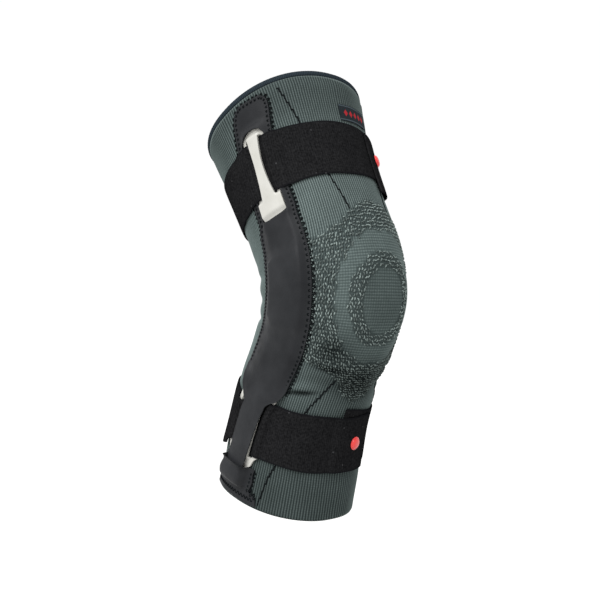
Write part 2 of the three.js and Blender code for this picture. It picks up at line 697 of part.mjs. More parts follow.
// The leather cap sewn over the pocket's lower end: open towards the knee, closed above the patch that
// holds it to the sleeve's rim.
function pocketCap(side, calfPlace) {
  const open = BAR_TOP + LAYER_GAP * 2 + LEATHER_THICKNESS;
  const mouth = calfPlace - SLOT_HALF - CAP_BELOW_STRAP;
  const rim = -SHIN_LENGTH + PATCH_MARGIN;
  const patch = rim + PATCH_HEIGHT;
  const end = calfPlace - SLOT_HALF - STRIP_TAIL - 2;
  const overRail = RAIL_TOP + LAYER_GAP;
  const rows = [
    { place: rim, middle: LAYER_GAP, shoulder: LAYER_GAP, half: PATCH_HALF },
    { place: patch, middle: LAYER_GAP, shoulder: LAYER_GAP, half: PATCH_HALF * 0.92 },
    { place: patch + 2, middle: LAYER_GAP, shoulder: LAYER_GAP, half: CAP_HALF * 0.9 },
    { place: lerp(patch + 2, end, 0.35), middle: open * 0.7, shoulder: overRail, half: CAP_HALF * 0.96 },
    { place: end, middle: open, shoulder: overRail, half: CAP_HALF },
    { place: lerp(end, mouth, 0.5), middle: open, shoulder: overRail, half: CAP_HALF },
    { place: mouth - 2, middle: open, shoulder: overRail, half: CAP_HALF },
    { place: mouth, middle: open + CAP_LIP, shoulder: overRail + CAP_LIP, half: CAP_HALF * 1.03 },
  ];
  const geometry = sheetSolid(rows.length - 1, 8, (i, j) => {
    const row = rows[i];
    const widths = [row.half, CAP_SHOULDER, CAP_SHOULDER - 2.5, STRIP_HALF + 0.8, 0];
    const lows = [LAYER_GAP, LAYER_GAP, row.shoulder, row.middle, row.middle];
    const line = j <= 4 ? j : 8 - j;
    const width = (widths[line] * (line === 0 ? 1 : Math.min(1, (row.half * 0.96) / CAP_HALF))) * (j <= 4 ? -1 : 1);
    const angle = stayAngle(row.place) + widthToAngle(row.place, width);
    return { place: row.place, angle, low: lows[line], high: lows[line] + LEATHER_THICKNESS };
  });
  return named(`${side}_pocket_cap`, geometry, LEATHER);
}

function label() {
  const bottom = strapAt(THIGH_STRAP, LABEL_ANGLE) + STRAP_WIDTH / 2 + LABEL_ABOVE_STRAP;
  const columns = 5;
  const geometry = sheetSolid(2, columns, (i, j) => {
    const place = bottom + (LABEL_HEIGHT * i) / 2;
    const angle = LABEL_ANGLE + widthToAngle(place, LABEL_WIDTH * (j / columns - 0.5));
    return { place, angle, low: LAYER_GAP, high: LAYER_GAP + LABEL_THICKNESS };
  });
  return named("woven_label", geometry, LABEL_CLOTH);
}

// What one side of the leg carries, drawn for the outer side: the inner side is mirrored, and its stay
// has its slots where the straps cross it there.
function sideAssembly(side, thighPlace, calfPlace) {
  const group = new THREE.Group();
  group.add(
    stay(`${side}_thigh_stay`, plateRows(THIGH_STAY, thighPlace, 1)),
    hinge(side),
    stay(`${side}_calf_stay`, plateRows(CALF_STAY, calfPlace, -1)),
    pocket(side, thighPlace, calfPlace),
    pocketCap(side, calfPlace),
  );
  if (side === "inner") group.scale.x = -1;
  return group;
}

const thighLine = stayAngle(THIGH_STRAP_PLACE);
const calfLine = stayAngle(CALF_STRAP_PLACE);
const brace = new THREE.Group();
brace.add(
  sleeve(),
  welt(),
  label(),
  sideAssembly("outer", strapAt(THIGH_STRAP, thighLine), strapAt(CALF_STRAP, 360 - calfLine)),
  sideAssembly("inner", strapAt(THIGH_STRAP, 360 - thighLine), strapAt(CALF_STRAP, calfLine)),
  strap("thigh_strap", THIGH_STRAP),
  stud("thigh_strap_stud", THIGH_STRAP),
);

// The calf strap closes the other way round, so its way is drawn mirrored.
const calfSide = new THREE.Group();
calfSide.scale.x = -1;
calfSide.add(strap("calf_strap", CALF_STRAP), stud("calf_strap_stud", CALF_STRAP));
brace.add(calfSide);

export default brace;
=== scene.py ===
"""A hinged knee support in its worn shape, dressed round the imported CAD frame.

Sizes inside the classes are millimetres and degrees. +Z is up, -Y is the front of the knee and -X is
the outer side. A place is a distance along the leg from the knee's middle, plus towards the thigh, and
an angle goes round the leg, 0 at the front and 90 on the outer side.
"""

import logging
import math
from dataclasses import dataclass, field
from enum import Enum
from typing import NamedTuple, Protocol, Sequence

import bpy
import numpy as np
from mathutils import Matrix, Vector


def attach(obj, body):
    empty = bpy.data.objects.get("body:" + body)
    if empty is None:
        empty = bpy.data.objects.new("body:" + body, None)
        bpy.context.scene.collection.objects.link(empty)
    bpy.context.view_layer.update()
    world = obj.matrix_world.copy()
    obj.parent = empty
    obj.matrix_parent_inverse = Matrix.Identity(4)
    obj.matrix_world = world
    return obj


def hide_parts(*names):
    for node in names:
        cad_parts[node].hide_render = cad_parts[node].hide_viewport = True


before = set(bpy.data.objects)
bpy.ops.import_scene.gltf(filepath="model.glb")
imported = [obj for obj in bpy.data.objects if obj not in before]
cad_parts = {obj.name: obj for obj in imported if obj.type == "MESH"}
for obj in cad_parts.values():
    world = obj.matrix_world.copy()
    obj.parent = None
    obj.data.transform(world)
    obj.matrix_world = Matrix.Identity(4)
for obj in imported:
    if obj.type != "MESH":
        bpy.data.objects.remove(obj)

LOG = logging.getLogger("knee_support")
MM = 0.001
NOISE_CELLS = 128
Array = np.ndarray


class LimbRow(NamedTuple):
    """Shares of the straight taper from the knee's size to the rim's."""

    at: float
    side: float
    front: float
    back: float


class LineRow(NamedTuple):
    """The stay's angle at a share of the thigh's or shin's length."""

    at: float
    angle: float


class WayRow(NamedTuple):
    """A strap's rise and share of its width at an angle."""

    at: float
    rise: float
    width: float


class BarRow(NamedTuple):
    """A plate's bar from the knee end up, as a share of its half width."""

    at: float
    width: float


class SeamRow(NamedTuple):
    """A corner of a shaping line in the knit."""

    place: float
    angle: float


LIMB_SHAPE = (
    LimbRow(-1, 1, 1, 1),
    LimbRow(-0.82, 0.99, 0.9, 1.06),
    LimbRow(-0.55, 0.965, 0.74, 1.16),
    LimbRow(-0.27, 0.93, 0.82, 1.08),
    LimbRow(0, 1, 1, 1),
    LimbRow(0.32, 0.935, 0.925, 0.96),
    LimbRow(0.65, 0.94, 0.905, 0.97),
    LimbRow(0.93, 0.985, 0.975, 0.985),
    LimbRow(1, 1, 1, 1),
)
STAY_LINE = (
    LineRow(-1, 98.5),
    LineRow(-0.6, 97),
    LineRow(-0.48, 93),
    LineRow(-0.35, 88.5),
    LineRow(-0.2, 85.5),
    LineRow(0.1, 81),
    LineRow(0.36, 80),
    LineRow(0.62, 78.5),
    LineRow(0.8, 75),
    LineRow(1, 68),
)
THIGH_STRAP_WAY = (
    WayRow(-46, -6, 1),
    WayRow(0, -2.5, 1),
    WayRow(79, 0, 1),
    WayRow(122, -3.5, 0.95),
    WayRow(180, -6, 1),
    WayRow(262, -8.5, 1),
    WayRow(292, -9, 1),
    WayRow(315, -11.5, 1.06),
    WayRow(340, -11.5, 1.2),
)
CALF_STRAP_WAY = (
    WayRow(-5, 8, 1),
    WayRow(40, 2.5, 1),
    WayRow(78, -2.4, 1),
    WayRow(112, -3.2, 1),
    WayRow(180, -9, 1),
    WayRow(226, -11, 1.14),
    WayRow(240, -9.5, 1.06),
    WayRow(249, -7.6, 0.78),
    WayRow(264, -2, 1),
    WayRow(330, 0.5, 1),
    WayRow(387, 1, 1),
)
THIGH_BAR_SHAPE = (BarRow(0, 1.25), BarRow(0.25, 0.92), BarRow(0.6, 0.76), BarRow(1, 1.06))
CALF_BAR_SHAPE = (BarRow(0, 1), BarRow(1, 1))


def table_value(table: Sequence[NamedTuple], column: str, share: Array) -> Array:
    """Read a column of a table on a smooth curve through its rows.

    Args:
        table: Rows with an "at" column that rises.
        column: The column's name.
        share: Where to read, held within the table.

    Returns:
        The column's values there.
    """
    at = np.array([row.at for row in table], float)
    value = np.array([getattr(row, column) for row in table], float)
    share = np.clip(np.asarray(share, float), at[0], at[-1])
    k = np.searchsorted(at[1:-1], share, side="left")
    before = np.maximum(np.arange(len(at)) - 1, 0)
    after = np.minimum(np.arange(len(at)) + 1, len(at) - 1)
    slope = (value[after] - value[before]) / (at[after] - at[before])
    step = at[k + 1] - at[k]
    t = (share - at[k]) / step
    rise = t * t * (3 - 2 * t)
    start = slope[k] * step * t * (1 - t) ** 2
    end = slope[k + 1] * step * t * t * (1 - t)
    return value[k] * (1 - rise) + value[k + 1] * rise + start - end


def smooth_step(low: float, high: float, value: Array) -> Array:
    """Rise softly from 0 at low to 1 at high."""
    t = np.clip((value - low) / (high - low), 0, 1)
    return t * t * (3 - 2 * t)


def bell(distance: Array) -> Array:
    """Give a bell of height 1 and of width about 1."""
    return np.exp(-np.square(distance))


def soften(values: Array, spread: float) -> Array:
    """Smooth rows of values along the first axis with a bell, holding both ends.

    Args:
        values: One row per sample, evenly spaced.
        spread: The bell's width in samples.

    Returns:
        The smoothed rows.
    """
    reach = max(1, int(math.ceil(spread * 2.5)))
    weights = bell(np.arange(-reach, reach + 1) / spread)
    weights /= weights.sum()
    pad = [(reach, reach)] + [(0, 0)] * (values.ndim - 1)
    padded = np.pad(values, pad, mode="reflect", reflect_type="odd")
    return sum(w * padded[i : i + len(values)] for i, w in enumerate(weights))


def smooth_noise(across: Array, along: Array, size: float, seed: int) -> Array:
    """Give soft irregular values between -1 and 1, the same at every run.

    Args:
        across: Where to read, one way.
        along: Where to read, the other way.
        size: The distance between neighbouring values.
        seed: Which values are drawn.

    Returns:
        The values.
    """
    drawn = np.random.default_rng(seed).uniform(-1, 1, (NOISE_CELLS, NOISE_CELLS))
    x, y = across / size, along / size
    i, j = np.floor(x).astype(int), np.floor(y).astype(int)
    s, t = smooth_step(0, 1, x - i), smooth_step(0, 1, y - j)
    i, right = i % NOISE_CELLS, (i + 1) % NOISE_CELLS
    j, above = j % NOISE_CELLS, (j + 1) % NOISE_CELLS
    low = drawn[i, j] * (1 - s) + drawn[right, j] * s
    high = drawn[i, above] * (1 - s) + drawn[right, above] * s
    return low * (1 - t) + high * t


@dataclass(frozen=True)
class LegForm:
    """The outer face of the sleeve, as a place along the leg and an angle round it."""

    thigh_length: float = 154.0
    shin_length: float = 183.0
    thigh_lean: float = 25.5
    shin_lean: float = 21.2
    bend_length: float = 90.0
    knee: LimbRow = LimbRow(0, 56.5, 62.5, 59.5)
    thigh: LimbRow = LimbRow(1, 67, 68.5, 68)
    calf: LimbRow = LimbRow(-1, 55, 61, 56.5)
    squareness: float = 0.92

    def share(self, place: Array) -> Array:
        """Turn a place into a share of the thigh's or shin's length."""
        return place / np.where(place >= 0, self.thigh_length, self.shin_length)

    def axis(self, place: Array) -> tuple[Array, Array, Array]:
        """Follow the leg's middle line: straight, an arc through the knee, and straight.

        Args:
            place: Places along the leg.

        Returns:
            The line's y and z, and its lean in radians.
        """
        low = -math.radians(self.shin_lean)
        turn = math.radians(self.thigh_lean + self.shin_lean)
        radius = self.bend_length / turn
        middle = low + turn * 0.5
        lean = low + turn * np.clip(place / self.bend_length + 0.5, 0, 1)
        half = self.bend_length / 2
        beyond = place - np.clip(place, -half, half)
        y = radius * (math.cos(middle) - np.cos(lean)) + beyond * np.sin(lean)
        z = radius * (np.sin(lean) - math.sin(middle)) + beyond * np.cos(lean)
        return y, z, lean

    def size(self, place: Array, column: str) -> Array:
        """Give the limb's half size.

        Args:
            place: Places along the leg.
            column: "side", "front" or "back".

        Returns:
            The half sizes.
        """
        share = self.share(place)
        knee = getattr(self.knee, column)
        rim = np.where(place >= 0, getattr(self.thigh, column), getattr(self.calf, column))
        return (knee + (rim - knee) * np.abs(share)) * table_value(LIMB_SHAPE, column, share)

    def skin(self, place: Array, angle: Array, lift: Array) -> Array:
        """Find points that stand lift above the sleeve.

        Args:
            place: Places along the leg.
            angle: Angles round it.
            lift: Heights above the sleeve's outer face.

        Returns:
            Points, with x, y and z on the last axis.
        """
        values = (np.asarray(v, float) for v in (place, angle, lift))
        place, angle, lift = np.broadcast_arrays(*values)
        y, z, lean = self.axis(place)
        across = np.sin(np.radians(angle))
        forward = np.cos(np.radians(angle))
        side = self.size(place, "side") + lift
        depth = np.where(forward >= 0, self.size(place, "front"), self.size(place, "back")) + lift
        out = depth * np.sign(forward) * np.abs(forward) ** self.squareness
        x = -side * np.sign(across) * np.abs(across) ** self.squareness
        return np.stack([x, y - out * np.cos(lean), z + out * np.sin(lean)], -1)

    def raised_path(self, place: Array, angle: Array, lift: Array) -> tuple[Array, Array]:
        """Give points above the sleeve, and the step from each to a millimetre higher."""
        path = self.skin(place, angle, lift)
        return path, self.skin(place, angle, lift + 1) - path

    def width_to_angle(self, place: Array, width: Array) -> Array:
        """Turn millimetres round the sleeve into degrees."""
        return np.degrees(width / self.size(np.asarray(place, float), "side"))

    def stay_angle(self, place: Array) -> Array:
        """Give the angle of the line that a stay follows."""
        return table_value(STAY_LINE, "angle", self.share(np.asarray(place, float)))

    def along_rim(self, place: Array, width: Array) -> Array:
        """Lean places along the rim's slant.

        Args:
            place: Places on the stay's line.
            width: How far beside the line the points lie.

        Returns:
            The points' places.
        """
        line = self.stay_angle(place)
        angle = line + self.width_to_angle(place, width)
        return place + self.slant(place, angle) - self.slant(place, line)

    def slant(self, place: Array, angle: Array) -> Array:
        """Say how far a row moves along the leg so that the rims stand higher at the front.

        Args:
            place: The row's places.
            angle: Angles round the leg.

        Returns:
            The movements, none at the knee and all of it at the rims.
        """
        above = place >= 0
        forward = np.where(above, 7.0, 6.0) * np.cos(np.radians(angle))
        outward = np.where(above, 3.5, 0.0) * np.sin(np.radians(angle))
        return np.abs(self.share(place)) ** 3 * (forward + outward)


def mesh_object(
    name: str,
    points: Array,
    quads: Array,
    uv: Array | None = None,
    weights: dict[str, Array] | None = None,
    caps: Sequence[Sequence[int]] = (),
) -> bpy.types.Object:
    """Make an object from points in millimetres.

    Args:
        name: The piece's name.
        points: One point a row.
        quads: Four point numbers a row.
        uv: A pair for each corner of each quad.
        weights: Named values, one for each point.
        caps: Faces with other numbers of corners.

    Returns:
        The object, smooth shaded and in the scene.
    """
    mesh = bpy.data.meshes.new(name)
    faces = quads.tolist() + [list(cap) for cap in caps]
    mesh.from_pydata((points * MM).tolist(), [], faces)
    if uv is not None:
        layer = mesh.uv_layers.new(name="thread")
        corners = np.zeros((len(mesh.loops), 2))
        corners[: uv.reshape(-1, 2).shape[0]] = uv.reshape(-1, 2)
        layer.data.foreach_set("uv", corners.ravel())
    for title, values in (weights or {}).items():
        attribute = mesh.attributes.new(title, "FLOAT", "POINT")
        attribute.data.foreach_set("value", np.asarray(values, float).ravel())
    mesh.shade_smooth()
    mesh.update()
    piece = bpy.data.objects.new(name, mesh)
    bpy.context.scene.collection.objects.link(piece)
    return piece


def shell(
    name: str,
    outer: Array,
    inner: Array,
    uv: Array,
    cut: Array | None = None,
    closed: bool = False,
    mirrored: bool = False,
    weights: dict[str, Array] | None = None,
) -> bpy.types.Object:
    """Join two grids of points into one closed solid.

    Args:
        name: The piece's name.
        outer: The outer face's points, rows by columns.
        inner: The inner face's points, as many.
        uv: A pair for each row and column, with one more column when the grid is closed.
        cut: True for each cell that is left out.
        closed: Whether the last column joins the first.
        mirrored: Whether the piece is turned over to the other side of the leg.
        weights: Named values for each row and column.

    Returns:
        The object.
    """
    rows, lines = outer.shape[:2]
    columns = lines if closed else lines - 1
    present = np.ones((rows - 1, columns), bool) if cut is None else ~cut
    i, j = np.nonzero(present)
    right = (j + 1) % lines
    corners = [(i, j), (i + 1, j), (i + 1, right), (i, right)]
    top = np.stack([a * lines + b for a, b in corners], 1)
    low = top[:, ::-1] + rows * lines
    plain = np.stack([uv[i, j], uv[i + 1, j], uv[i + 1, j + 1], uv[i, j + 1]], 1)
    quads = [top, low]
    maps = [plain, plain[:, ::-1]]
    around = np.zeros((rows + 1, columns + 2), bool)
    around[1:-1, 1:-1] = present
    if closed:
        around[1:-1, 0] = present[:, -1]
        around[1:-1, -1] = present[:, 0]
    shifts = ((0, -1, 0, 1), (1, 0, 1, 2), (0, 1, 2, 3), (-1, 0, 3, 0))
    for down, across, start, end in shifts:
        bare = ~around[1 + i + down, 1 + j + across]
        a, b = top[bare, start], top[bare, end]
        quads.append(np.stack([a, a + rows * lines, b + rows * lines, b], 1))
        edge = np.stack([plain[bare, start], plain[bare, start], plain[bare, end], plain[bare, end]], 1)
        maps.append(edge)
    faces = np.concatenate(quads)
    uvs = np.concatenate(maps)
    points = np.concatenate([outer.reshape(-1, 3), inner.reshape(-1, 3)])
    if mirrored:
        points = points * np.array([-1, 1, 1])
        faces = faces[:, ::-1]
        uvs = uvs[:, ::-1]
    used, renumbered = np.unique(faces, return_inverse=True)
    doubled = {k: np.concatenate([w.ravel(), w.ravel()])[used] for k, w in (weights or {}).items()}
    return mesh_object(name, points[used], renumbered.reshape(-1, 4), uvs, doubled)


def ring_section(path: Array, normals: Array, across: float, over: float, sides: int) -> Array:
    """Sweep an oval along a path.

    Args:
        path: Points along the middle.
        normals: The direction away from the surface at each.
        across: The oval's half width along the surface.
        over: Its half height.
        sides: Points round it.

    Returns:
        Points, path by sides.
    """
    run = np.gradient(path, axis=0)
    run /= np.linalg.norm(run, axis=1, keepdims=True)
    beside = np.cross(run, normals)
    beside /= np.linalg.norm(beside, axis=1, keepdims=True)
    up = np.cross(beside, run)
    turn = np.linspace(0, math.tau, sides, endpoint=False)
    flat = np.cos(turn)[None, :, None] * beside[:, None, :] * across
    tall = np.sin(turn)[None, :, None] * up[:, None, :] * over
    return path[:, None, :] + flat + tall


def threads(name: str, sections: Sequence[Array], tones: Sequence[float] = ()) -> bpy.types.Object:
    """Make one object of several swept threads, each closed by caps at its ends.

    Args:
        name: The piece's name.
        sections: For each thread, its points, path by sides.
        tones: For each thread, how light it is drawn: its yarn's tone, with any painted shade.

    Returns:
        The object.
    """
    points, quads, uvs, caps, count = [], [], [], [], 0
    for ring in sections:
        steps, sides = ring.shape[:2]
        index = np.arange(steps * sides).reshape(steps, sides) + count
        nxt = np.roll(index, -1, axis=1)
        faces = np.stack([index[:-1], nxt[:-1], nxt[1:], index[1:]], -1).reshape(-1, 4)
        along = np.broadcast_to(np.arange(steps)[:, None], (steps, sides))
        around = np.broadcast_to(np.arange(sides)[None, :] / sides, (steps, sides))
        pair = np.stack([around, along], -1)
        corners = [pair[:-1], pair[:-1] + [1 / sides, 0], pair[1:] + [1 / sides, 0], pair[1:]]
        uvs.append(np.stack(corners, 2).reshape(-1, 4, 2))
        quads.append(faces)
        caps.append(index[0][::-1].tolist())
        caps.append(index[-1].tolist())
        points.append(ring.reshape(-1, 3))
        count += steps * sides
    shades = [np.full(len(some), tone) for some, tone in zip(points, tones)]
    weights = {"tone": np.concatenate(shades)} if shades else None
    joined = [np.concatenate(parts) for parts in (points, quads, uvs)]
    return mesh_object(name, *joined, weights, caps)


def round_edges(piece: bpy.types.Object, width: float, segments: int = 2) -> None:
    """Round a piece's sharp edges.

    Args:
        piece: The piece.
        width: How wide the rounding is.
        segments: How many facets it has.
    """
    bevel = piece.modifiers.new("rounded edges", "BEVEL")
    bevel.width = width * MM
    bevel.segments = segments
    bevel.limit_method = "ANGLE"
    bevel.angle_limit = math.radians(50)
    bevel.use_clamp_overlap = True
    bevel.harden_normals = True


def linear(colour: str) -> tuple[float, float, float, float]:
    """Turn an sRGB hex colour into a linear one.

    Args:
        colour: Six hex digits after a hash.

    Returns:
        Red, green, blue and an alpha of 1.
    """
    parts = [int(colour[k : k + 2], 16) / 255 for k in (1, 3, 5)]
    lit = [c / 12.92 if c <= 0.04045 else ((c + 0.055) / 1.055) ** 2.4 for c in parts]
    return (*lit, 1.0)


def wire(
    tree: bpy.types.NodeTree, kind: str, links: dict | None = None, out: int | str = 0, **settings: object
) -> bpy.types.NodeSocket | bpy.types.Node:
    """Add a node with its settings and links.

    Args:
        tree: The material's node tree.
        kind: The node's type, without "ShaderNode".
        links: For each input, by name or number, a value or another node's output.
        out: The output wanted.
        **settings: The node's own settings.

    Returns:
        The output socket, or the node where it has none.
    """
    added = tree.nodes.new("ShaderNode" + kind)
    for name, value in settings.items():
        setattr(added, name, value)
    for key, value in (links or {}).items():
        if isinstance(value, bpy.types.NodeSocket):
            tree.links.new(value, added.inputs[key])
        else:
            added.inputs[key].default_value = value
    return added.outputs[out] if added.outputs else added


def ramp(
    tree: bpy.types.NodeTree, value: bpy.types.NodeSocket, stops: Sequence[tuple[float, str]]
) -> bpy.types.NodeSocket:
    """Colour a value by stops of sRGB colours.

    Args:
        tree: The material's node tree.
        value: The output that is coloured.
        stops: Pairs of a position and a colour, in order.

    Returns:
        The colour output.
    """
    colour = wire(tree, "ValToRGB", {0: value})
    elements = colour.node.color_ramp.elements
    while len(elements) < len(stops):
        elements.new(0.5)
    for element, (position, shade) in zip(elements, stops):
        element.position = position
        element.color = linear(shade)
    return colour


def new_material(name: str) -> tuple[bpy.types.Material, bpy.types.NodeTree]:
    """Start a material.

    Args:
        name: The material's name.

    Returns:
        The material and its empty node tree.
    """
    made = bpy.data.materials.new(name)
    made.use_nodes = True
    made.node_tree.nodes.clear()
    return made, made.node_tree


class Finish(Protocol):
    """A real material, made in a real way."""

    def material(self) -> bpy.types.Material:
        """Build its Blender material."""


@dataclass(frozen=True)
class RibbedKnit:
    """Flat-knitted nylon and elastic yarn, slate green.

    Machine-knitted in fine ribs, so it shows light ridges of stitches with dark furrows between, and
    over the knee a raised moss stitch of short slanting loops, with the ground under them painted darker
    as their shade. It is matt, with a painted sheen that lightens it where it is seen at grazing angles.
    """

    furrow: str = "#181c1d"
    body: str = "#414a49"
    crest: str = "#6d7876"
    shadow: str = "#686869"
    # The pale tint of the painted sheen at grazing angles.
    painted_sheen: str = "#7f8b89"
    # A course is 0.9 mm on the real knit. That is a pixel here, so it is drawn twice as coarse.
    stitch_mm: float = 1.9
    fine_mm: float = 1.55

    def material(self) -> bpy.types.Material:
        """Build the nodes: ribs, fine courses and moss stitch, chosen by the sleeve's weights, with painted
        shade and a painted sheen.

        Returns:
            The material.
        """
        made, tree = new_material("ribbed_knit")
        thread = wire(tree, "UVMap", uv_map="thread")
        u = wire(tree, "SeparateXYZ", {0: thread}, 0)
        v = wire(tree, "SeparateXYZ", {0: thread}, 1)
        spot = wire(tree, "TexCoord", out="Object")
        moss = wire(tree, "Attribute", out="Fac", attribute_name="moss")
        fine = wire(tree, "Attribute", out="Fac", attribute_name="fine")
        painted_shade = wire(tree, "Attribute", out="Fac", attribute_name="painted_shade")
        wobble = wire(tree, "TexNoise", {"Vector": spot, "Scale": 260.0, "Detail": 2.0}, "Fac")
        shift = wire(tree, "MapRange", {0: wobble, 3: -0.12, 4: 0.12})
        u_soft = wire(tree, "Math", {0: u, 1: shift}, operation="ADD")
        rib_turn = wire(tree, "Math", {0: u_soft, 1: math.tau}, operation="MULTIPLY")
        rib_wave = wire(tree, "Math", {0: rib_turn}, operation="COSINE")
        rib = wire(tree, "MapRange", {0: rib_wave, 1: -1.0, 2: 1.0, 3: 0.26, 4: 0.8})
        bead_turn = wire(tree, "Math", {0: v, 1: math.tau / self.stitch_mm}, operation="MULTIPLY")
        bead_wave = wire(tree, "Math", {0: bead_turn}, operation="COSINE")
        bead = wire(tree, "MapRange", {0: bead_wave, 1: -1.0, 2: 1.0, 3: 0.86, 4: 1.0})
        ribbed = wire(tree, "Math", {0: rib, 1: bead}, operation="MULTIPLY")
        fine_turn = wire(tree, "Math", {0: v, 1: math.tau / self.fine_mm}, operation="MULTIPLY")
        fine_wave = wire(tree, "Math", {0: fine_turn}, operation="COSINE")
        course = wire(tree, "MapRange", {0: fine_wave, 1: -1.0, 2: 1.0, 3: 0.45, 4: 0.66})
        wale = wire(tree, "MapRange", {0: rib_wave, 1: -1.0, 2: 1.0, 3: 0.86, 4: 1.06})
        fine_knit = wire(tree, "Math", {0: course, 1: wale}, operation="MULTIPLY")
        flat = wire(tree, "Mix", {0: fine, 2: ribbed, 3: fine_knit}, data_type="FLOAT")
        # Painted shade: under the moss loops the ground is drawn at about half its tone.
        under = wire(tree, "Math", {0: flat, 1: 0.56}, operation="MULTIPLY")
        stitch = wire(tree, "Mix", {0: moss, 2: flat, 3: under}, data_type="FLOAT")
        fuzz = wire(tree, "TexNoise", {"Vector": spot, "Scale": 900.0, "Detail": 2.0}, "Fac")
        fuzzy = wire(tree, "MapRange", {0: fuzz, 3: -0.16, 4: 0.16})
        tone = wire(tree, "Math", {0: stitch, 1: fuzzy}, operation="ADD")
        shade = ramp(tree, tone, ((0.0, self.furrow), (0.5, self.body), (1.0, self.crest)))
        drift = wire(tree, "TexNoise", {"Vector": spot, "Scale": 34.0, "Detail": 3.0}, "Fac")
        drift_amount = wire(tree, "MapRange", {0: drift, 1: 0.3, 2: 0.7, 3: 0.9, 4: 1.1})
        mixing = {"data_type": "RGBA", "blend_type": "MULTIPLY"}
        toned = wire(tree, "Mix", {0: 1.0, 6: shade, 7: drift_amount}, 2, **mixing)
        # Painted shade: the sleeve's shade weight darkens the colour towards the shadow tint.
        dark = wire(tree, "Math", {0: painted_shade, 1: 0.95}, operation="MULTIPLY")
        shaded = wire(tree, "Mix", {0: dark, 6: toned, 7: linear(self.shadow)}, 2, **mixing)
        # Painted sheen: the knit is lightened towards a pale tint where it is seen at grazing angles.
        facing = wire(tree, "LayerWeight", {"Blend": 0.4}, "Facing")
        painted_sheen = wire(tree, "MapRange", {0: facing, 1: 0.45, 2: 1.0, 3: 0.0, 4: 0.4})
        painted_sheen_mixed = wire(tree, "Mix", {0: painted_sheen, 6: shaded, 7: linear(self.painted_sheen)}, 2, data_type="RGBA")
        bump = wire(tree, "Bump", {"Height": stitch, "Distance": 0.0004, "Strength": 0.5}, "Normal")
        shader = wire(
            tree,
            "BsdfPrincipled",
            {"Base Color": painted_sheen_mixed, "Roughness": 0.92, "Specular IOR Level": 0.0, "Normal": bump},
        )
        wire(tree, "OutputMaterial", {0: shader})
        return made


@dataclass(frozen=True)
class MossYarn:
    """The sleeve's yarn where it stands up in moss stitch.

    Each loop is a short soft roll of twisted yarn, so it catches the light along its back and differs
    a little from its neighbours.
    """

    dark: str = "#161a1a"
    light: str = "#77827f"

    def material(self) -> bpy.types.Material:
        """Build the nodes: a tone for each loop, which carries painted shade, broken by fuzz.

        Returns:
            The material.
        """
        made, tree = new_material("moss_yarn")
        spot = wire(tree, "TexCoord", out="Object")
        tone = wire(tree, "Attribute", out="Fac", attribute_name="tone")
        fuzz = wire(tree, "TexNoise", {"Vector": spot, "Scale": 1100.0, "Detail": 2.0}, "Fac")
        fuzzy = wire(tree, "MapRange", {0: fuzz, 3: -0.14, 4: 0.14})
        mixed = wire(tree, "Math", {0: tone, 1: fuzzy}, operation="ADD")
        colour = ramp(tree, mixed, ((0.0, self.dark), (1.0, self.light)))
        settings = {"Base Color": colour, "Roughness": 0.92, "Specular IOR Level": 0.0}
        shader = wire(tree, "BsdfPrincipled", settings)
        wire(tree, "OutputMaterial", {0: shader})
        return made


@dataclass(frozen=True)
class WeltKnit:
    """Double-knitted nylon and elastic hem, blue black.

    It is knitted tubular and denser than the sleeve, so it shows as a smooth rolled edge with close
    upright stitches.
    """

    dark: str = "#161b1e"
    light: str = "#2c343a"

    def material(self) -> bpy.types.Material:
        """Build the nodes: upright stitches with a fuzzy break-up.

        Returns:
            The material.
        """
        made, tree = new_material("welt_knit")
        thread = wire(tree, "UVMap", uv_map="thread")
        u = wire(tree, "SeparateXYZ", {0: thread}, 0)
        turn = wire(tree, "Math", {0: u, 1: math.tau}, operation="MULTIPLY")
        wave = wire(tree, "Math", {0: turn}, operation="COSINE")
        spot = wire(tree, "TexCoord", out="Object")
        fuzz = wire(tree, "TexNoise", {"Vector": spot, "Scale": 700.0, "Detail": 2.0}, "Fac")
        height = wire(tree, "MapRange", {0: wave, 1: -1.0, 2: 1.0, 3: 0.15, 4: 0.6})
        tone = wire(tree, "Math", {0: fuzz, 1: 0.5, 2: height}, operation="MULTIPLY_ADD")
        colour = ramp(tree, tone, ((0.2, self.dark), (1.0, self.light)))
        bump = wire(tree, "Bump", {"Height": height, "Distance": 0.0003, "Strength": 0.5}, "Normal")
        shader = wire(
            tree,
            "BsdfPrincipled",
            {"Base Color": colour, "Roughness": 0.9, "Specular IOR Level": 0.0, "Normal": bump},
        )
        wire(tree, "OutputMaterial", {0: shader})
        return made


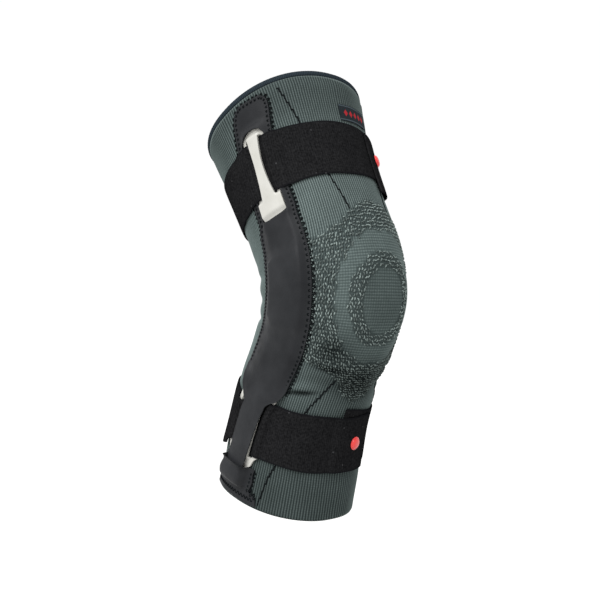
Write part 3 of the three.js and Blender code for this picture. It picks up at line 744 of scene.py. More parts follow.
@dataclass(frozen=True)
class PocketLeather:
    """Coated split leather, charcoal.

    It is rolled with a fine grain and semi-matt, so it takes a soft broad sheen over the stay and shows
    slight draw marks near its seams.
    """

    shade: str = "#1b1c1e"
    light: str = "#262729"
    grain_mm: float = 1.1

    def material(self) -> bpy.types.Material:
        """Build the nodes: cloudy colour, rolled grain and faint draw marks.

        Returns:
            The material.
        """
        made, tree = new_material("pocket_leather")
        spot = wire(tree, "TexCoord", out="Object")
        cloud = wire(tree, "TexNoise", {"Vector": spot, "Scale": 45.0, "Detail": 4.0}, "Fac")
        colour = ramp(tree, cloud, ((0.3, self.shade), (0.72, self.light)))
        grain = wire(
            tree,
            "TexVoronoi",
            {"Vector": spot, "Scale": 1 / (self.grain_mm * MM), "Randomness": 1.0},
            "Distance",
            feature="SMOOTH_F1",
        )
        crease = wire(tree, "TexNoise", {"Vector": spot, "Scale": 130.0, "Detail": 5.0}, "Fac")
        relief = wire(tree, "Math", {0: grain, 1: 0.45, 2: crease}, operation="MULTIPLY_ADD")
        bump = wire(tree, "Bump", {"Height": relief, "Distance": 0.0005, "Strength": 0.35}, "Normal")
        gloss = wire(tree, "MapRange", {0: crease, 1: 0.3, 2: 0.7, 3: 0.42, 4: 0.58})
        shader = wire(
            tree,
            "BsdfPrincipled",
            {"Base Color": colour, "Roughness": gloss, "Specular IOR Level": 0.08, "Normal": bump},
        )
        wire(tree, "OutputMaterial", {0: shader})
        return made


@dataclass(frozen=True)
class StayPlastic:
    """Injection-moulded polyamide, warm white.

    It is moulded smooth and slightly translucent at its edges, so it looks bright and even with a satin
    gloss.
    """

    shade: str = "#a09f99"
    light: str = "#a9a8a3"

    def material(self) -> bpy.types.Material:
        """Build the nodes: a very slight mottle under a satin surface.

        Returns:
            The material.
        """
        made, tree = new_material("stay_plastic")
        spot = wire(tree, "TexCoord", out="Object")
        mottle = wire(tree, "TexNoise", {"Vector": spot, "Scale": 90.0, "Detail": 3.0}, "Fac")
        colour = ramp(tree, mottle, ((0.3, self.shade), (0.7, self.light)))
        bump = wire(tree, "Bump", {"Height": mottle, "Distance": 0.0002, "Strength": 0.2}, "Normal")
        shader = wire(
            tree,
            "BsdfPrincipled",
            {"Base Color": colour, "Roughness": 0.4, "Specular IOR Level": 0.3, "Normal": bump},
        )
        wire(tree, "OutputMaterial", {0: shader})
        return made


@dataclass(frozen=True)
class HingeSteel:
    """Stamped and tumbled stainless steel.

    Tumbling leaves it grey and evenly soft, with faint scuffs.
    """

    shade: str = "#8c8f92"
    light: str = "#a9acaf"

    def material(self) -> bpy.types.Material:
        """Build the nodes: scuffed grey metal.

        Returns:
            The material.
        """
        made, tree = new_material("hinge_steel")
        spot = wire(tree, "TexCoord", out="Object")
        scuff = wire(tree, "TexNoise", {"Vector": spot, "Scale": 400.0, "Detail": 5.0}, "Fac")
        colour = ramp(tree, scuff, ((0.3, self.shade), (0.7, self.light)))
        rough = wire(tree, "MapRange", {0: scuff, 3: 0.3, 4: 0.5})
        shader = wire(
            tree, "BsdfPrincipled", {"Base Color": colour, "Metallic": 1.0, "Roughness": rough}
        )
        wire(tree, "OutputMaterial", {0: shader})
        return made


@dataclass(frozen=True)
class LoopWebbing:
    """Woven elastic with a brushed loop face, black.

    The brushed loops drink the light, so it reads as a matt black with a soft nap, fine cross ribs from
    the elastic cords and a few pale specks of lint.
    """

    shade: str = "#0f0f10"
    light: str = "#212122"
    selvedge: str = "#131315"
    lint: str = "#4a4a4c"
    cord_mm: float = 1.9

    def material(self) -> bpy.types.Material:
        """Build the nodes: nap, cross ribs, a woven selvedge and lint.

        Returns:
            The material.
        """
        made, tree = new_material("loop_webbing")
        thread = wire(tree, "UVMap", uv_map="thread")
        u = wire(tree, "SeparateXYZ", {0: thread}, 0)
        v = wire(tree, "SeparateXYZ", {0: thread}, 1)
        spot = wire(tree, "TexCoord", out="Object")
        nap = wire(tree, "TexNoise", {"Vector": spot, "Scale": 620.0, "Detail": 3.0}, "Fac")
        patch = wire(tree, "TexNoise", {"Vector": spot, "Scale": 70.0, "Detail": 3.0}, "Fac")
        turn = wire(tree, "Math", {0: u, 1: math.tau / self.cord_mm}, operation="MULTIPLY")
        cord = wire(tree, "Math", {0: turn}, operation="COSINE")
        mixed = wire(tree, "Math", {0: patch, 1: 0.2, 2: nap}, operation="MULTIPLY_ADD")
        tone = wire(tree, "Math", {0: cord, 1: 0.06, 2: mixed}, operation="MULTIPLY_ADD")
        colour = ramp(tree, tone, ((0.4, self.shade), (0.9, self.light)))
        edge = wire(tree, "Math", {0: v}, operation="ABSOLUTE")
        at_edge = wire(tree, "MapRange", {0: edge, 1: 0.93, 2: 0.96})
        edged = wire(tree, "Mix", {0: at_edge, 6: colour, 7: linear(self.selvedge)}, 2, data_type="RGBA")
        speck = wire(tree, "TexVoronoi", {"Vector": spot, "Scale": 95.0, "Randomness": 1.0}, "Distance")
        lint = wire(tree, "MapRange", {0: speck, 1: 0.075, 2: 0.045, 3: 0.0, 4: 0.5})
        linted = wire(tree, "Mix", {0: lint, 6: edged, 7: linear(self.lint)}, 2, data_type="RGBA")
        bump = wire(tree, "Bump", {"Height": tone, "Distance": 0.0005, "Strength": 0.7}, "Normal")
        shader = wire(
            tree,
            "BsdfPrincipled",
            {"Base Color": linted, "Roughness": 0.95, "Specular IOR Level": 0.0, "Normal": bump},
        )
        wire(tree, "OutputMaterial", {0: shader})
        return made


@dataclass(frozen=True)
class StudLacquer:
    """Moulded acetal snap stud, signal red.

    It is polished in its mould, so it has one crisp highlight on an even colour.
    """

    shade: str = "#c02020"
    light: str = "#d02c26"

    def material(self) -> bpy.types.Material:
        """Build the nodes: even red under a clear gloss.

        Returns:
            The material.
        """
        made, tree = new_material("stud_lacquer")
        spot = wire(tree, "TexCoord", out="Object")
        mottle = wire(tree, "TexNoise", {"Vector": spot, "Scale": 500.0, "Detail": 2.0}, "Fac")
        colour = ramp(tree, mottle, ((0.3, self.shade), (0.7, self.light)))
        shader = wire(
            tree,
            "BsdfPrincipled",
            {"Base Color": colour, "Roughness": 0.28, "IOR": 1.48, "Coat Weight": 0.3},
        )
        wire(tree, "OutputMaterial", {0: shader})
        return made


@dataclass(frozen=True)
class LabelDamask:
    """Woven polyester label, slate with a row of red lozenges.

    It is woven in fine cross threads, so its plain ground is flat and its red figures have stepped,
    slightly ragged edges.
    """

    ground: str = "#20262a"
    furrow: str = "#171c1f"
    border: str = "#3a4348"
    figure: str = "#8c2228"
    lozenge_mm: float = 5.8
    half_tall_mm: float = 4.1
    border_mm: float = 6.1

    def material(self) -> bpy.types.Material:
        """Build the nodes: woven ground, edge threads and a generic row of lozenges.

        Returns:
            The material.
        """
        made, tree = new_material("label_damask")
        thread = wire(tree, "UVMap", uv_map="thread")
        u = wire(tree, "SeparateXYZ", {0: thread}, 0)
        v = wire(tree, "SeparateXYZ", {0: thread}, 1)
        spot = wire(tree, "TexCoord", out="Object")
        grain = wire(tree, "TexNoise", {"Vector": spot, "Scale": 900.0, "Detail": 1.0}, "Fac")
        cell = wire(tree, "Math", {0: u, 1: 1 / self.lozenge_mm}, operation="MULTIPLY")
        saw = wire(tree, "Math", {0: cell, 1: 0.5}, operation="PINGPONG")
        wide = wire(tree, "MapRange", {0: saw, 2: 0.5, 4: 1.0})
        tall = wire(tree, "Math", {0: v, 1: 1 / self.half_tall_mm}, operation="MULTIPLY")
        tall_side = wire(tree, "Math", {0: tall}, operation="ABSOLUTE")
        reach = wire(tree, "Math", {0: wide, 1: tall_side}, operation="ADD")
        ragged = wire(tree, "Math", {0: grain, 1: 0.3, 2: reach}, operation="MULTIPLY_ADD")
        figured = wire(tree, "MapRange", {0: ragged, 1: 0.95, 2: 0.8})
        inside = wire(tree, "Math", {0: u}, operation="ABSOLUTE")
        kept = wire(tree, "Math", {0: inside, 1: 2.5 * self.lozenge_mm}, operation="LESS_THAN")
        red = wire(tree, "Math", {0: figured, 1: kept}, operation="MULTIPLY")
        v_side = wire(tree, "Math", {0: v}, operation="ABSOLUTE")
        rule = wire(tree, "Math", {0: v_side, 1: self.border_mm, 2: 0.45}, operation="COMPARE")
        ground = ramp(tree, grain, ((0.2, self.furrow), (0.8, self.ground)))
        ruled = wire(tree, "Mix", {0: rule, 6: ground, 7: linear(self.border)}, 2, data_type="RGBA")
        colour = wire(tree, "Mix", {0: red, 6: ruled, 7: linear(self.figure)}, 2, data_type="RGBA")
        bump = wire(tree, "Bump", {"Height": grain, "Distance": 0.0002, "Strength": 0.4}, "Normal")
        shader = wire(
            tree,
            "BsdfPrincipled",
            {"Base Color": colour, "Roughness": 0.8, "Specular IOR Level": 0.05, "Normal": bump},
        )
        wire(tree, "OutputMaterial", {0: shader})
        return made


@dataclass(frozen=True)
class SewingThread:
    """Twisted polyester sewing thread, near black.

    The twist gives it a faint broken sheen along each stitch.
    """

    shade: str = "#090a0b"
    light: str = "#191c1e"

    def material(self) -> bpy.types.Material:
        """Build the nodes: a fine twist along the thread.

        Returns:
            The material.
        """
        made, tree = new_material("sewing_thread")
        spot = wire(tree, "TexCoord", out="Object")
        twist = wire(tree, "TexNoise", {"Vector": spot, "Scale": 1500.0, "Detail": 1.0}, "Fac")
        colour = ramp(tree, twist, ((0.35, self.shade), (0.75, self.light)))
        settings = {"Base Color": colour, "Roughness": 0.8, "Specular IOR Level": 0.0}
        shader = wire(tree, "BsdfPrincipled", settings)
        wire(tree, "OutputMaterial", {0: shader})
        return made


class Slot(Enum):
    """The record's material slots, each with its finish."""

    KNIT = "knit"
    WELT = "welt_knit"
    LABEL = "label_cloth"
    PLASTIC = "stay_plastic"
    STEEL = "hinge_steel"
    LEATHER = "pocket_leather"
    WEBBING = "elastic_webbing"
    STUD = "red_stud"


FINISHES: dict[Slot, Finish] = {
    Slot.KNIT: RibbedKnit(),
    Slot.WELT: WeltKnit(),
    Slot.LABEL: LabelDamask(),
    Slot.PLASTIC: StayPlastic(),
    Slot.STEEL: HingeSteel(),
    Slot.LEATHER: PocketLeather(),
    Slot.WEBBING: LoopWebbing(),
    Slot.STUD: StudLacquer(),
}


@dataclass
class Wardrobe:
    """Hands out each finish's material, made once."""

    made: dict[str, bpy.types.Material] = field(default_factory=dict)

    def material(self, finish: Finish) -> bpy.types.Material:
        """Give the material of a finish.

        Args:
            finish: The finish.

        Returns:
            Its material, the same one at every call.
        """
        key = type(finish).__name__
        if key not in self.made:
            self.made[key] = finish.material()
        return self.made[key]

    def dress(
        self, piece: bpy.types.Object, slot: Slot, nodes: Sequence[str], finish: Finish | None = None
    ) -> None:
        """Finish a piece, let it ride on the root and hide the CAD parts that it replaces.

        Args:
            piece: The piece.
            slot: The record's slot that it takes its finish from.
            nodes: The CAD nodes that it replaces.
            finish: A finish of its own, where it isn't the slot's.
        """
        piece.data.materials.append(self.material(finish or FINISHES[slot]))
        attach(piece, "root")
        if nodes:
            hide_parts(*nodes)
        LOG.info("%s: %d faces", piece.name, len(piece.data.polygons))


class Egg(NamedTuple):
    """An egg round the kneecap: its middle's angle, half width in degrees, height above and depth below."""

    turned: float
    half_angle: float
    high: float
    low: float


FINE_BAND = Egg(0, 46, 38, 35)
MOSS_RING = Egg(4, 31, 25, 24)
KNEECAP_OVAL = Egg(1.5, 21, 17, 17.5)


@dataclass
class KnitSleeve:
    """The knitted tube, with its ribs and the raised moss stitch round the kneecap."""

    form: LegForm
    wardrobe: Wardrobe
    wall: float = 2.6
    rib_count: int = 184
    rib_rise: float = 0.2
    narrowing: float = 0.31
    loop_rise: float = 0.45
    moss_high: float = 2.15
    moss_wide: float = 2.5
    moss_top: float = 56.0
    moss_bottom: float = -92.0
    moss_side: float = 75.0
    kneecap: float = -7.0
    upper_joint: float = 96.0
    lower_joint: float = -114.0
    side_joint: int = 41
    joint_gap: float = 0.1
    knee_row: float = 1.15
    plain_row: float = 2.0
    lining_row: float = 14.0
    ring_rise: float = 1.8
    back_fold: float = 2.6
    shin_crease: float = 2.0

    def rib_angle(self, rib: Array, place: Array) -> Array:
        """Turn a count of ribs into an angle. Below the knee fewer ribs cover the front.

        Args:
            rib: Ribs from the front's middle, half of them to each side.
            place: Places along the leg.

        Returns:
            The angles.
        """
        turn = rib / self.rib_count
        wider = self.narrowing * smooth_step(75, -60, place)
        return 360 * turn + np.degrees(wider * np.sin(math.tau * turn))

    def turned(self, angle: Array) -> Array:
        """Bring an angle to between -180 and 180."""
        return (angle + 180) % 360 - 180

    def reach(self, place: Array, turned: Array, egg: Egg) -> Array:
        """Measure how far out points lie from an egg's middle, 1 on its edge."""
        up = place - self.kneecap
        return np.hypot((turned - egg.turned) / egg.half_angle, up / np.where(up >= 0, egg.high, egg.low))

    def below_tuck(self, place: Array, side: Array) -> Array:
        """Say how far points lie above the tuck beside the shin, which runs down outwards."""
        return place + 74.5 + (side - 55) * 0.19

    def zones(self, place: Array, angle: Array) -> dict[str, Array]:
        """Share the knit between moss stitch, fine courses and plain ribs.

        Args:
            place: Places along the leg.
            angle: Angles round it.

        Returns:
            The weights "moss" and "fine", and a weight of painted shade that darkens the folds, the shin
            and the upper rim.
        """
        turned = self.turned(angle)
        side = np.abs(turned)
        ragged = smooth_noise(angle * 1.1, place, 3.2, 5)
        top = 29.5 + 19 * bell(side / 36) + 2.6 * ragged
        bottom = -48 - 27 * bell(side / 27) + 2.6 * ragged
        outer = smooth_step(-1.5, 1.5, top - place) * smooth_step(-1.5, 1.5, place - bottom)
        outer = outer * smooth_step(78, 70, side)
        edge = 0.05 * ragged
        band = self.reach(place, turned, FINE_BAND)
        ring = self.reach(place, turned, MOSS_RING)
        oval = self.reach(place, turned, KNEECAP_OVAL)
        moss = outer * smooth_step(0.97, 1.03, band + edge)
        moss = moss + smooth_step(1.03, 0.97, ring + edge) * smooth_step(0.95, 1.03, oval)
        fine = smooth_step(1.05, 0.97, band)
        # Painted shade: under the kneecap, beside it, in the fold, in the oval, at both rims, and in the
        # shin's tuck.
        painted_shade = bell((place + 58) / 16) * bell(side / 38)
        painted_shade = painted_shade + 0.8 * bell((place + 36) / 8) * bell((side - 40) / 16)
        painted_shade = painted_shade + 0.9 * bell((place + 49) / 2.4) * bell((side - 37) / 17)
        painted_shade = painted_shade + 0.14 * smooth_step(1.03, 0.95, oval) + 0.4 * smooth_step(100, 145, place)
        painted_shade = painted_shade + (0.5 + 0.12 * np.sin(np.radians(turned))) * smooth_step(-55, -110, place)
        painted_shade = painted_shade + bell((side - 55) / 14) * bell(self.below_tuck(place, side) / 2.2)
        return {"moss": np.clip(moss, 0, 1), "fine": fine, "painted_shade": np.clip(painted_shade, 0, 1)}

    def form_relief(self, place: Array, angle: Array) -> Array:
        """Give the large forms: the cushion ring, the folds behind the knee and the creases of the shin.

        Args:
            place: Places along the leg.
            angle: Angles round it.

        Returns:
            Heights above the plain leg.
        """
        side = np.abs(self.turned(angle))
        around = np.radians(side) * self.form.size(place, "side")
        ring = self.ring_rise * bell((np.hypot(around / 27, (place + 8) / 23) - 1) / 0.3)
        # Behind the knee come three folds, and on each side of the shin a soft crease, a sharp fold over
        # it and a tuck below it. The dimple lies at the foot of the kneecap's oval.
        behind = np.maximum(0, -np.cos(np.radians(angle))) ** 1.5
        folds = sum(bell((place + 8 - 26 * k) / 7) for k in (-1, 0, 1))
        crease = bell((side - 38) / 34) * bell((place + 64) / 7)
        fold = bell((side - 37) / 17) * (bell((place + 48) / 2.2) - 0.5 * bell((place + 42) / 4))
        below = self.below_tuck(place, side)
        tuck = bell((side - 55) / 14) * (bell(below / 1.7) - 0.35 * bell((below - 5) / 3.5))
        dimple = bell(np.hypot((side - 3) / 6, (place + 23) / 4.5))
        small = 0.25 * smooth_noise(angle, place, 17, 9)
        hollow = self.back_fold * behind * folds + self.shin_crease * crease
        return ring + small - hollow - 1.2 * fold - 2.4 * tuck - 1.2 * dimple

    def stitch_relief(self, rib: Array, weights: dict[str, Array]) -> Array:
        """Give the ribs their height, and sink the ground of the moss stitch.

        Args:
            rib: The count of ribs from the front.
            weights: The zones' weights.

        Returns:
            Heights in millimetres.
        """
        ribs = self.rib_rise * (0.5 * np.cos(math.tau * rib) - 0.5)
        moss, fine = weights["moss"], weights["fine"]
        return ribs * (1 - moss) * (1 - 0.75 * fine) - 0.3 * moss

    def length(
        self,
        name: str,
        ends: tuple[float, float],
        row: float,
        ribs: Array,
        slanted: tuple[bool, bool],
        closed: bool,
    ) -> None:
        """Build one length of the sleeve and dress it.

        Args:
            name: The piece's name.
            ends: The lower and the upper end's place.
            row: The distance between rows.
            ribs: The columns, in ribs from the front.
            slanted: Whether the lower and the upper end follow the slanted rims.
            closed: Whether it goes all round, its last column falling on its first.
        """
        low, high = ends
        rows = max(2, int(round((high - low) / row)))
        share = np.linspace(0, 1, rows + 1)[:, None]
        place = low + (high - low) * share + np.zeros_like(ribs)[None, :]
        count = np.broadcast_to(ribs[None, :], place.shape)
        angle = self.rib_angle(count, place)
        fade = slanted[0] * (1 - share) + slanted[1] * share
        place = place + self.form.slant(place, angle) * smooth_step(0.0, 0.5, fade) * any(slanted)
        weights = self.zones(place, angle)
        large = self.form_relief(place, angle)
        outer = self.form.skin(place, angle, large + self.stitch_relief(count, weights))
        inner = self.form.skin(place, angle, large - self.wall)
        picks = np.linspace(0, rows, max(2, int(round((high - low) / self.lining_row))) + 1).astype(int)
        for a, b in zip(picks[:-1], picks[1:]):
            t = ((np.arange(a, b + 1) - a) / (b - a))[:, None, None]
            inner[a : b + 1] = inner[a] * (1 - t) + inner[b] * t
        kept = slice(None, -1) if closed else slice(None)
        weights = {key: value[:, kept] for key, value in weights.items()}
        uv = np.stack([count, place], -1)
        piece = shell(name, outer[:, kept], inner[:, kept], uv, closed=closed, weights=weights)
        self.wardrobe.dress(piece, Slot.KNIT, ["knit_sleeve"])

    def loops(self) -> None:
        """Raise the moss stitch's loops, each along the rings round the kneecap and a little askew."""
        rng = np.random.default_rng(11)
        rows = np.arange(self.moss_bottom, self.moss_top, self.moss_high)
        columns = np.arange(-self.moss_side, self.moss_side, self.moss_wide)
        place, angle = np.meshgrid(rows, columns, indexing="ij")
        angle = angle + self.moss_wide / 2 * (np.arange(len(rows)) % 2)[:, None]
        place = place + self.moss_high * rng.uniform(-0.27, 0.27, place.shape)
        angle = angle + self.moss_wide * rng.uniform(-0.27, 0.27, place.shape)
        weights = self.zones(place, angle)
        kept = weights["moss"] > rng.uniform(0.06, 0.86, place.shape)
        place, angle, painted_shade = place[kept], angle[kept], weights["painted_shade"][kept]
        course = np.arctan2(angle, self.kneecap - place) + rng.uniform(-0.8, 0.8, len(place))
        run = np.linspace(-1, 1, 6)[None, :]
        half = rng.uniform(0.6, 1.0, len(place))[:, None]
        at = place[:, None] + half * run * np.sin(course)[:, None]
        around = angle[:, None] + half * run * np.cos(course)[:, None]
        lift = self.form_relief(at, around) + self.loop_rise * (1 - 2.1 * run**2)
        path, normals = self.form.raised_path(at, around, lift)
        thick = rng.uniform(0.44, 0.6, len(place))
        sections = [ring_section(p, n, w, w * 0.8, 6) for p, n, w in zip(path, normals, thick)]
        # Each loop's tone is random, darkened by the painted shade weight.
        tones = rng.uniform(0.3, 0.98, len(place)) * (1 - 0.62 * painted_shade)
        piece = threads("moss_loops", sections, tones)
        self.wardrobe.dress(piece, Slot.KNIT, [], MossYarn())

    def build(self) -> None:
        """Build the lengths, which meet under the straps and, at the knee, under the leather."""
        gap = self.joint_gap / 2
        half, side = self.rib_count // 2, self.side_joint
        whole = np.linspace(-half, half, self.rib_count * 3 + 1)
        front = np.linspace(-side, side, side * 6 + 1)
        back = np.linspace(side + 0.05, self.rib_count - side - 0.05, (half - side) * 4 + 1)
        thigh = (self.upper_joint + gap, self.form.thigh_length)
        knee = (self.lower_joint + gap, self.upper_joint - gap)
        calf = (-self.form.shin_length, self.lower_joint - gap)
        self.length("sleeve_thigh", thigh, self.plain_row, whole, (False, True), True)
        self.length("sleeve_knee_front", knee, self.knee_row, front, (False, False), False)
        self.length("sleeve_knee_back", knee, self.knee_row * 1.5, back, (False, False), False)
        self.loops()
        self.length("sleeve_calf", calf, self.plain_row, whole, (True, False), True)


def closed_sweep(name: str, rings: Array, uv: Array) -> bpy.types.Object:
    """Join rings of points that close both round themselves and end to end.

    Args:
        name: The piece's name.
        rings: Points, ring by side.
        uv: A pair for each, with one ring and one side more.

    Returns:
        The object.
    """
    steps, sides = rings.shape[:2]
    index = np.arange(steps * sides).reshape(steps, sides)
    on, beside = np.roll(index, -1, axis=0), np.roll(index, -1, axis=1)
    both = np.roll(on, -1, axis=1)
    quads = np.stack([index, on, both, beside], -1).reshape(-1, 4)
    corners = np.stack([uv[:-1, :-1], uv[1:, :-1], uv[1:, 1:], uv[:-1, 1:]], 2).reshape(-1, 4, 2)
    return mesh_object(name, rings.reshape(-1, 3), quads, corners)


@dataclass
class TopWelt:
    """The rolled hem that closes the sleeve's upper rim."""

    form: LegForm
    wardrobe: Wardrobe
    height: float = 4.5
    proud: float = 0.6
    wall: float = 2.6
    gap: float = 0.4
    steps: int = 544
    sides: int = 18
    stitches: int = 272

    def build(self) -> None:
        """Sweep the hem's soft oval round the rim."""
        angle = np.arange(self.steps) * 360 / self.steps
        rim = self.form.thigh_length + self.form.slant(np.full_like(angle, self.form.thigh_length), angle)
        turn = np.arange(self.sides) * math.tau / self.sides
        along = np.sign(np.cos(turn)) * np.abs(np.cos(turn)) ** 0.75
        out = np.sign(np.sin(turn)) * np.abs(np.sin(turn)) ** 0.75
        stitch = 0.08 * np.cos(math.pi * self.stitches * angle / 360)
        place = rim[:, None] + self.gap + self.height / 2 * (1 + along)[None, :]
        half = (self.proud + self.wall) / 2
        lift = self.proud - half + out[None, :] * (half - 0.1 + stitch[:, None])
        rings = self.form.skin(place, angle[:, None], lift)
        count = np.linspace(0, self.stitches, self.steps + 1)
        around = np.linspace(0, 1, self.sides + 1)
        uv = np.stack(np.meshgrid(count, around, indexing="ij"), -1)
        piece = closed_sweep("rolled_hem", rings, uv)
        self.wardrobe.dress(piece, Slot.WELT, ["top_welt"])


@dataclass(frozen=True)
class SheetRow:
    """A row across a stay, a pocket or a cap, drawn for the outer side."""

    place: float
    widths: tuple[float, ...]
    lows: tuple[float, ...]
    thickness: tuple[float, ...]


@dataclass(frozen=True)
class LaidSheet:
    """A solid laid along a stay's line, drawn finely through a few rows."""

    form: LegForm
    rows: tuple[SheetRow, ...]
    parts: tuple[int, ...]
    step: float = 1.2
    along: float = 1.5
    across: float = 0.0
    opening: tuple[float, float] = (0.0, 0.0)
    opened: tuple[int, ...] = ()
    arch: float = 0.0
    sill: float = 0.0
    fade: float = 12.0
    ripple: float = 0.0
    on_rim: bool = False

    def places(self) -> Array:
        """List the fine rows' places.

        Returns:
            The places, with rows on both ends of the opening.
        """
        stops = [self.rows[0].place, self.rows[-1].place]
        if self.opened:
            stops = [stops[0], *self.opening, stops[1]]
        runs = []
        for low, high in zip(stops[:-1], stops[1:]):
            count = max(1, int(round((high - low) / self.step)))
            runs.append(np.linspace(low, high, count + 1)[:-1])
        return np.concatenate([*runs, [stops[-1]]])

    def spread(self, column: str, place: Array, mix: Array) -> Array:
        """Draw one of the rows' measures finely.

        Args:
            column: The measure's name.
            place: The fine rows' places.
            mix: For each fine column, its share of each line.

        Returns:
            The measure, row by column.
        """
        at = [row.place for row in self.rows]
        rough = np.array([getattr(row, column) for row in self.rows], float)
        fine = np.stack([np.interp(place, at, line) for line in rough.T], 1)
        return soften(fine, self.along / self.step) @ mix.T

    def mesh(self, name: str, mirrored: bool) -> bpy.types.Object:
        """Build the solid.

        Args:
            name: The piece's name.
            mirrored: Whether it belongs to the inner side.

        Returns:
            The object.
        """
        place = self.places()
        lines = len(self.rows[0].widths)
        at = np.concatenate([np.linspace(k, k + 1, n + 1)[:-1] for k, n in enumerate(self.parts)])
        at = np.append(at, lines - 1)
        mix = np.clip(1 - np.abs(at[:, None] - np.arange(lines)[None, :]), 0, 1)
        width = self.spread("widths", place, mix)
        low = self.spread("lows", place, mix)
        thick = self.spread("thickness", place, mix)
        if self.across:
            low = soften(low.T, self.across).T
        along = np.broadcast_to(place[:, None], width.shape).copy()
        if self.on_rim:
            along = self.form.along_rim(along, width)
        cut = None
        if self.opened:
            bottom, top = self.opening
            cell = np.floor((at[:-1] + at[1:]) / 2).astype(int)
            middle = (place[:-1] + place[1:]) / 2
            cut = ((middle > bottom) & (middle < top))[:, None] & np.isin(cell, self.opened)[None, :]
            along += self.bowed(place, width, at)
        edge = np.abs(at / (lines - 1) * 2 - 1) ** 6
        wave = np.sin(along * 0.83) + 0.6 * np.sin(along * 1.71 + 1.3)
        low = low + self.ripple * (wave + 1.6) * edge[None, :]
        angle = self.form.stay_angle(along) + self.form.width_to_angle(along, width)
        outer = self.form.skin(along, angle, low + thick)
        inner = self.form.skin(along, angle, low)
        uv = np.stack([width, along], -1)
        return shell(name, outer, inner, uv, cut, mirrored=mirrored)

    def bowed(self, place: Array, width: Array, at: Array) -> Array:
        """Bow the rows at the opening's ends, so that it has an arched top and a rounded sill.

        Args:
            place: The fine rows' places.
            width: Widths, row by column.
            at: Each column's place among the lines.

        Returns:
            How far each point moves along the leg.
        """
        bottom, top = self.opening
        moved = np.zeros_like(width)
        groups: list[list[int]] = []
        for cell in self.opened:
            if groups and groups[-1][-1] == cell - 1:
                groups[-1].append(cell)
            else:
                groups.append([cell])
        for group in groups:
            inside = (at >= group[0]) & (at <= group[-1] + 1)
            held = width[:, inside]
            middle = (held[:, :1] + held[:, -1:]) / 2
            half = np.maximum((held[:, -1:] - held[:, :1]) / 2, 0.1)
            share = np.clip(np.abs(held - middle) / half, 0, 1)
            rise = self.arch * (1 - share**2) * smooth_step(-self.fade, 0, -np.abs(place - top))[:, None]
            fall = self.sill * (1 - share**4) * smooth_step(-self.fade, 0, -np.abs(place - bottom))[:, None]
            moved[:, inside] += rise - fall
        return moved


class Layers(NamedTuple):
    """How the slotted plates, straps and leather are stacked on the sleeve."""

    gap: float = 0.4
    strap: float = 1.5
    leather: float = 1.2
    stay: float = 2.4
    rail: float = 2.0
    hinge: float = 4.0
    slot_half: float = 24.8

    @property
    def under_bar(self) -> float:
        """Give the lift of a bar over its strap."""
        return self.strap + 2 * self.gap

    @property
    def bar_top(self) -> float:
        """Give the lift of a bar's face."""
        return self.under_bar + self.stay

    @property
    def over_rail(self) -> float:
        """Give the lift of what lies on a rail."""
        return self.gap + self.rail + self.gap

    @property
    def over_arm(self) -> float:
        """Give the lift of what lies on an arm."""
        return self.gap + self.stay + self.gap


LAYERS = Layers()


class Plate(NamedTuple):
    """A slotted plate's half widths at its bar, slots and edge, and its lengths.

    The bar is drawn at its own half width, leaning off the middle, and the end narrows by pairs of a
    distance past the slots and a share of the full width.
    """

    bar: float
    slot: float
    edge: float
    flare: float
    shape: tuple[BarRow, ...]
    block: float
    cross: float
    tongue: float
    flush: bool
    drawn: float
    lean: float
    end: tuple[tuple[float, float], ...]


THIGH_END = ((2.0, 0.99), (3.2, 0.94), (4.5, 0.8), (6.1, 0.6), (7.0, 0.45))
CALF_END = ((1.0, 0.9), (4.5, 0.83), (7.5, 0.79), (9.0, 0.74), (10.0, 0.62))
THIGH_PLATE = Plate(
    bar=4.6,
    slot=7.6,
    edge=10.2,
    flare=1.25,
    shape=THIGH_BAR_SHAPE,
    block=16.0,
    cross=4.5,
    tongue=0.0,
    flush=True,
    drawn=4.6,
    lean=0.0,
    end=THIGH_END,
)
CALF_PLATE = Plate(
    bar=10.2,
    slot=13.2,
    edge=17.0,
    flare=1.0,
    shape=CALF_BAR_SHAPE,
    block=4.0,
    cross=7.0,
    tongue=9.0,
    flush=False,
    drawn=7.0,
    lean=-2.6,
    end=CALF_END,
)


